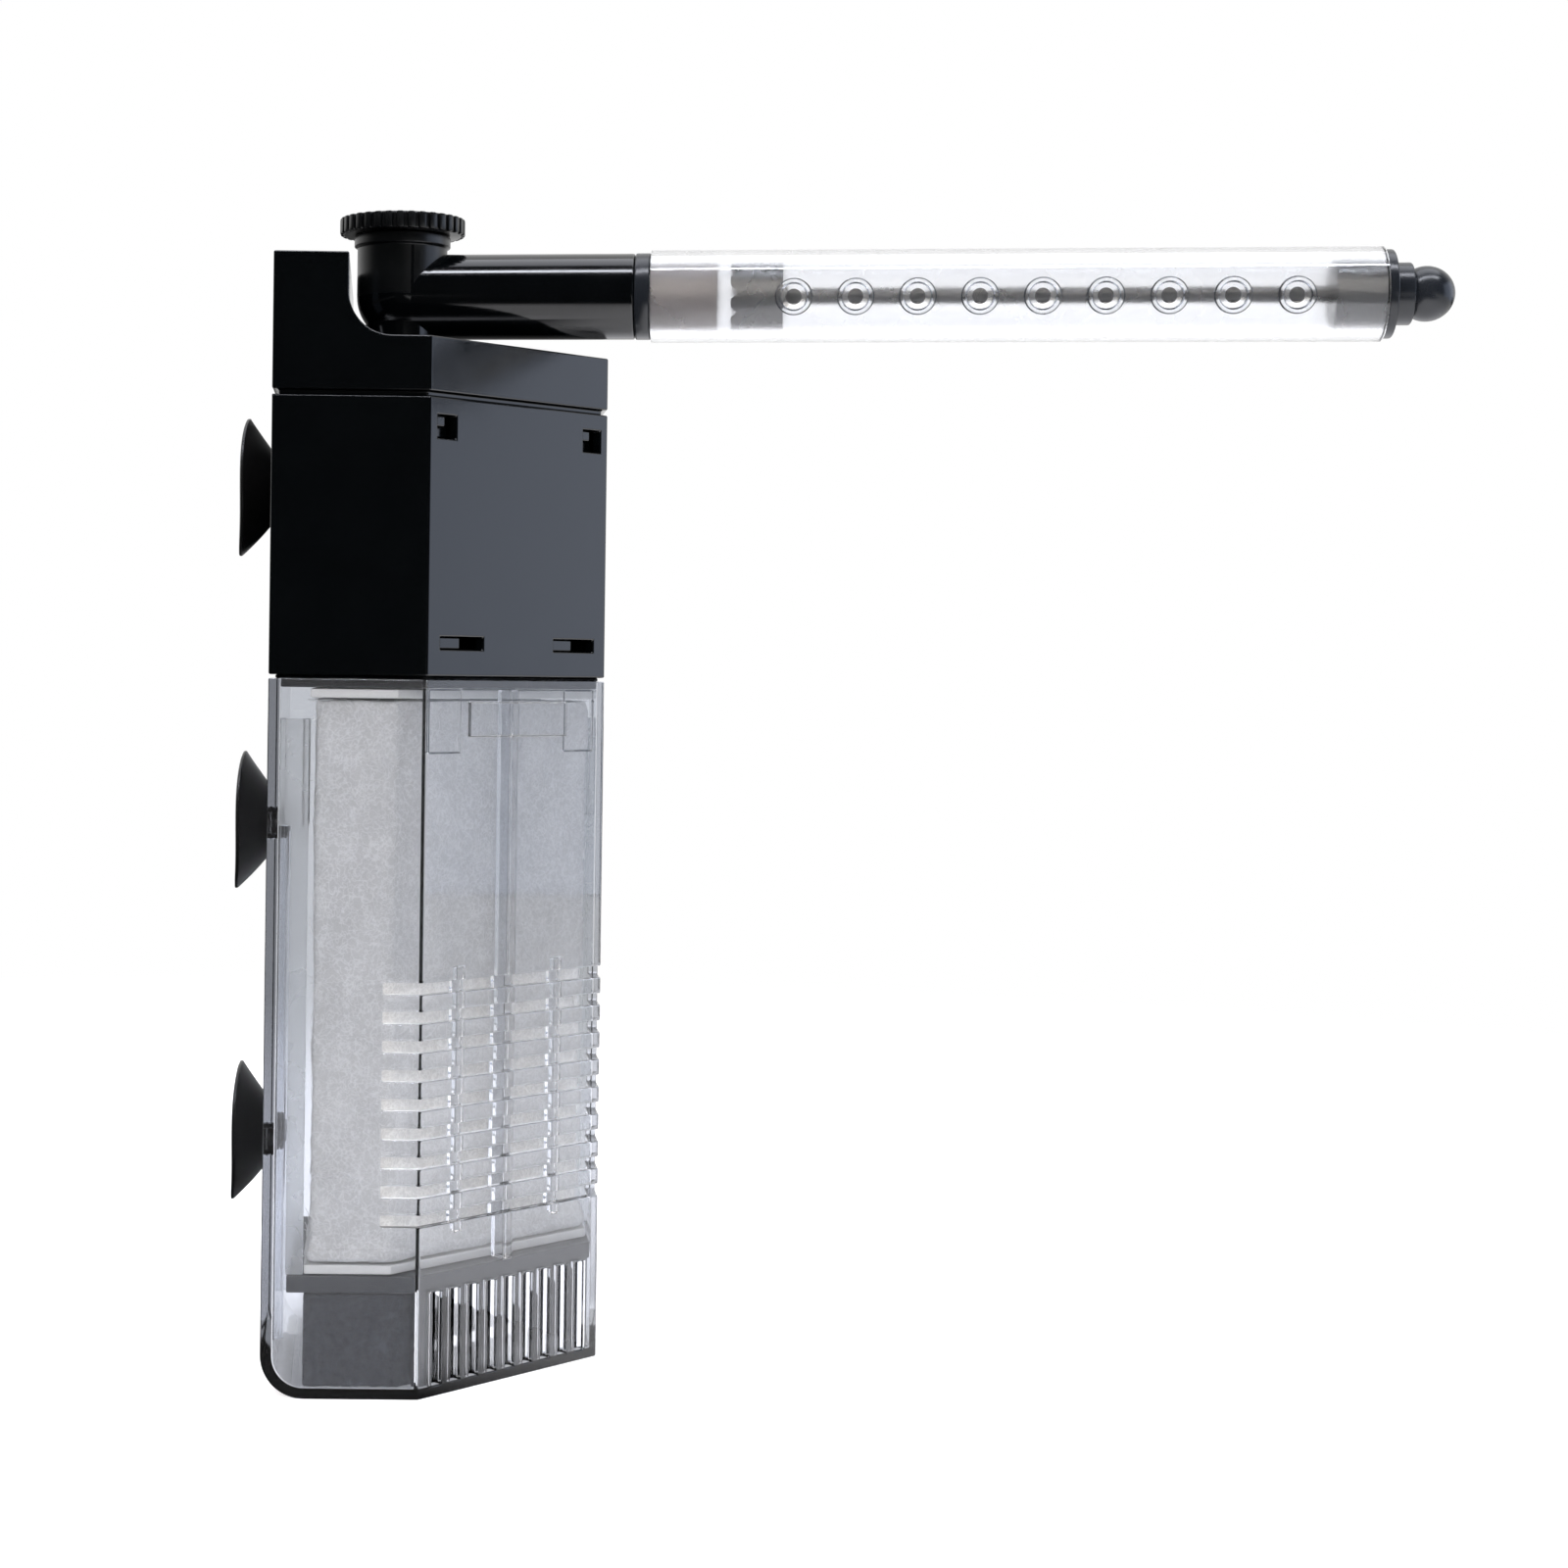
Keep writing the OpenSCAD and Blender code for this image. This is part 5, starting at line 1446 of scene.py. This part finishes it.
@dataclass
class Studio:
    """Camera, floor, lamps and world of the shot."""

    lens: float = 65.54
    eye: tuple[float, float, float] = (-10.4, -553.0, 133.1)
    yaw_deg: float = 0.85
    roll_deg: float = 0.73
    shift: tuple[float, float] = (0.2263, -0.0719)
    floor_m: float = 12.0
    ambient: float = 0.55
    front_glow: float = 0.3
    side_glow: float = 0.8
    near_m: float = 0.25
    far_m: float = 0.7
    floor_drop: float = 0.05
    paper: str = "#e8e8ea"
    paper_glow: float = 0.45
    dark: float = 0.02
    mirror_dark_front: tuple[float, float] = (-0.36, -0.46)
    mirror_dark_inward: tuple[float, float] = (0.55, 0.35)
    mirror_dark_left: tuple[float, float] = (0.03, 0.0)
    behind_box: tuple[float, float] = (1.15, 1.18)
    backdrop_y: tuple[float, float] = (-0.15, 0.5)
    aside_x: tuple[float, float] = (0.2, 0.7)

    def build(self) -> None:
        """Sets the whole studio."""
        bpy.context.scene.view_settings.view_transform = "Standard"
        self.camera()
        self.floor()
        self.lamps()
        self.world()

    def camera(self) -> None:
        """Puts the camera at the photograph's angle."""
        data = bpy.data.cameras.new("camera")
        data.lens = self.lens
        data.sensor_width = 36
        data.shift_x, data.shift_y = self.shift
        data.clip_end = 50
        eye = bpy.data.objects.new("camera", data)
        eye.location = Vector(self.eye) * MM
        eye.rotation_euler = (Matrix.Rotation(math.radians(-self.yaw_deg), 3, "Z")
                              @ Matrix.Rotation(math.radians(90), 3, "X")
                              @ Matrix.Rotation(math.radians(self.roll_deg), 3, "Z")).to_euler()
        bpy.context.scene.collection.objects.link(eye)
        bpy.context.scene.camera = eye

    def floor(self) -> None:
        """Lays a pale floor that keeps the object's shadow, with a painted dark reflection in front, at the
        left and behind the softbox.
        """
        bm = bmesh.new()
        bmesh.ops.create_grid(bm, x_segments=1, y_segments=1, size=self.floor_m / MM / 2)
        bmesh.ops.translate(bm, vec=(0, 0, CAD_BOX[0][2] / MM - self.floor_drop), verts=bm.verts)
        plane = from_bmesh("floor", bm)
        paper = bpy.data.materials.new("White paper")
        paper.use_nodes = True
        paper.node_tree.nodes.clear()
        tree = paper.node_tree
        base = add_node(tree, "ShaderNodeBsdfDiffuse", {"Color": linear(self.paper)})
        glow, white, dark = (
            add_node(tree, "ShaderNodeEmission", {"Color": linear("#ffffff"), "Strength": strength})
            for strength in (self.seen(tree, self.paper_glow), self.seen(tree, 1.0), self.dark))
        near = add_node(tree, "ShaderNodeAddShader", {0: base, 1: glow})
        rays = add_node(tree, "ShaderNodeLightPath").outputs
        place = add_node(tree, "ShaderNodeTexCoord").outputs["Object"]
        reach = add_node(tree, "ShaderNodeVectorMath", {0: place}, operation="LENGTH").outputs["Value"]
        away = add_node(tree, "ShaderNodeMapRange", {
            "Value": reach, "From Min": self.near_m, "From Max": self.far_m}, interpolation_type="SMOOTHSTEP")
        far = add_node(tree, "ShaderNodeMixShader", {0: away, 1: near, 2: white})
        spot = add_node(tree, "ShaderNodeSeparateXYZ", {0: place}).outputs
        ahead, inward, left, past = (
            add_node(tree, "ShaderNodeMapRange", {"Value": spot[axis], "From Min": low, "From Max": high})
            for axis, (low, high) in (("Y", self.mirror_dark_front), ("X", self.mirror_dark_inward), ("X", self.mirror_dark_left),
                                      ("X", self.behind_box)))
        front = add_node(tree, "ShaderNodeMath", {0: ahead, 1: inward}, operation="MULTIPLY")
        # Painted dark reflection: mirrors see the floor dark in front and at the left, where black flags would
        # stand, and behind the softbox, because a lamp is see-through.
        painted_dark = front
        for mask in (left, past):
            painted_dark = add_node(tree, "ShaderNodeMath", {0: painted_dark, 1: mask}, operation="MAXIMUM")
        pure = add_node(tree, "ShaderNodeMath", {0: rays["Is Glossy Ray"], 1: rays["Is Transmission Ray"]},
                        operation="SUBTRACT", use_clamp=True)
        mirror = add_node(tree, "ShaderNodeMath", {0: painted_dark, 1: pure}, operation="MULTIPLY")
        sheet = add_node(tree, "ShaderNodeMixShader", {0: mirror, 1: far, 2: dark})
        add_node(tree, "ShaderNodeOutputMaterial", {"Surface": sheet})
        plane.data.materials.append(paper)

    def seen(self, tree: Nodes, strength: float) -> Node:
        """A strength that only rays from the camera, a mirror or a clear wall meet.

        Args:
            tree: Tree that takes the nodes.
            strength: The strength that they meet.

        Returns:
            The last node.
        """
        rays = add_node(tree, "ShaderNodeLightPath").outputs
        met: Source | float = 0.0
        for kind in ("Camera", "Transmission", "Glossy"):
            met = add_node(tree, "ShaderNodeMath", {0: met, 1: rays[f"Is {kind} Ray"]}, operation="MAXIMUM")
        return add_node(tree, "ShaderNodeMath", {0: met, 1: strength}, operation="MULTIPLY")

    def lamps(self) -> None:
        """Hangs the studio's lamps."""
        for lamp in (
                Lamp("top light", (0.1, 0.15, 1.1), (0.1, 0.1, 0), (1.4, 0.5), 2.2, "#f2f5ff"),
                Lamp("key strip", (0.1, -0.42, 1.1), (0.1, 0, 0.1), (1.4, 0.1), 22.0, "#f2f5ff"),
                Lamp("right softbox", (1.15, -0.1, 0.25), (0, 0, 0.12), (1.0, 0.9), 1.55, "#d9e6ff",
                     through=False),
                Lamp("front fill", (-0.45, -1.3, 0.75), (0, 0, 0.08), (2.0, 1.2), 4.6, "#fff8f0",
                     mirrored=False)):
            lamp.hang()

    def world(self) -> None:
        """White to the camera and through clear walls, dark in mirrors on the camera's side."""
        world = bpy.data.worlds.new("studio")
        bpy.context.scene.world = world
        world.use_nodes = True
        tree = world.node_tree
        tree.nodes.clear()
        rays = add_node(tree, "ShaderNodeLightPath").outputs
        place = add_node(tree, "ShaderNodeTexCoord").outputs["Generated"]
        spot = add_node(tree, "ShaderNodeSeparateXYZ", {0: place}).outputs
        aside = add_node(tree, "ShaderNodeMath", {0: spot["X"]}, operation="ABSOLUTE")
        backdrop, sides = (
            add_node(tree, "ShaderNodeMapRange", {
                "Value": value, "From Min": start, "From Max": end, "To Min": low, "To Max": high})
            for value, (start, end), low, high in ((spot["Y"], self.backdrop_y, self.dark, 1.0),
                                                   (aside, self.aside_x, self.front_glow, self.side_glow)))
        through = add_node(tree, "ShaderNodeMath", {0: backdrop, 1: sides}, operation="MAXIMUM")
        light: Source | float = 0.0
        for kind, level in (("Camera", 1.0), ("Transmission", through), ("Glossy", backdrop),
                            ("Diffuse", self.ambient)):
            lit = add_node(tree, "ShaderNodeMath", {0: rays[f"Is {kind} Ray"], 1: level}, operation="MULTIPLY")
            light = add_node(tree, "ShaderNodeMath", {0: light, 1: lit}, operation="MAXIMUM")
        sky = add_node(tree, "ShaderNodeBackground", {"Color": linear("#ffffff"), "Strength": light})
        add_node(tree, "ShaderNodeOutputWorld", {"Surface": sky})


def main() -> None:
    """Builds the studio and every sub-assembly."""
    logging.basicConfig(level=logging.INFO, format="%(relativeCreated)d %(name)s %(message)s")
    Studio().build()
    Canister().build()
    Cartridge().build()
    SuctionCups().build()
    PumpHead().build()
    Outlet().build()
    JetBar().build()


if __name__ == "__main__":
    main()
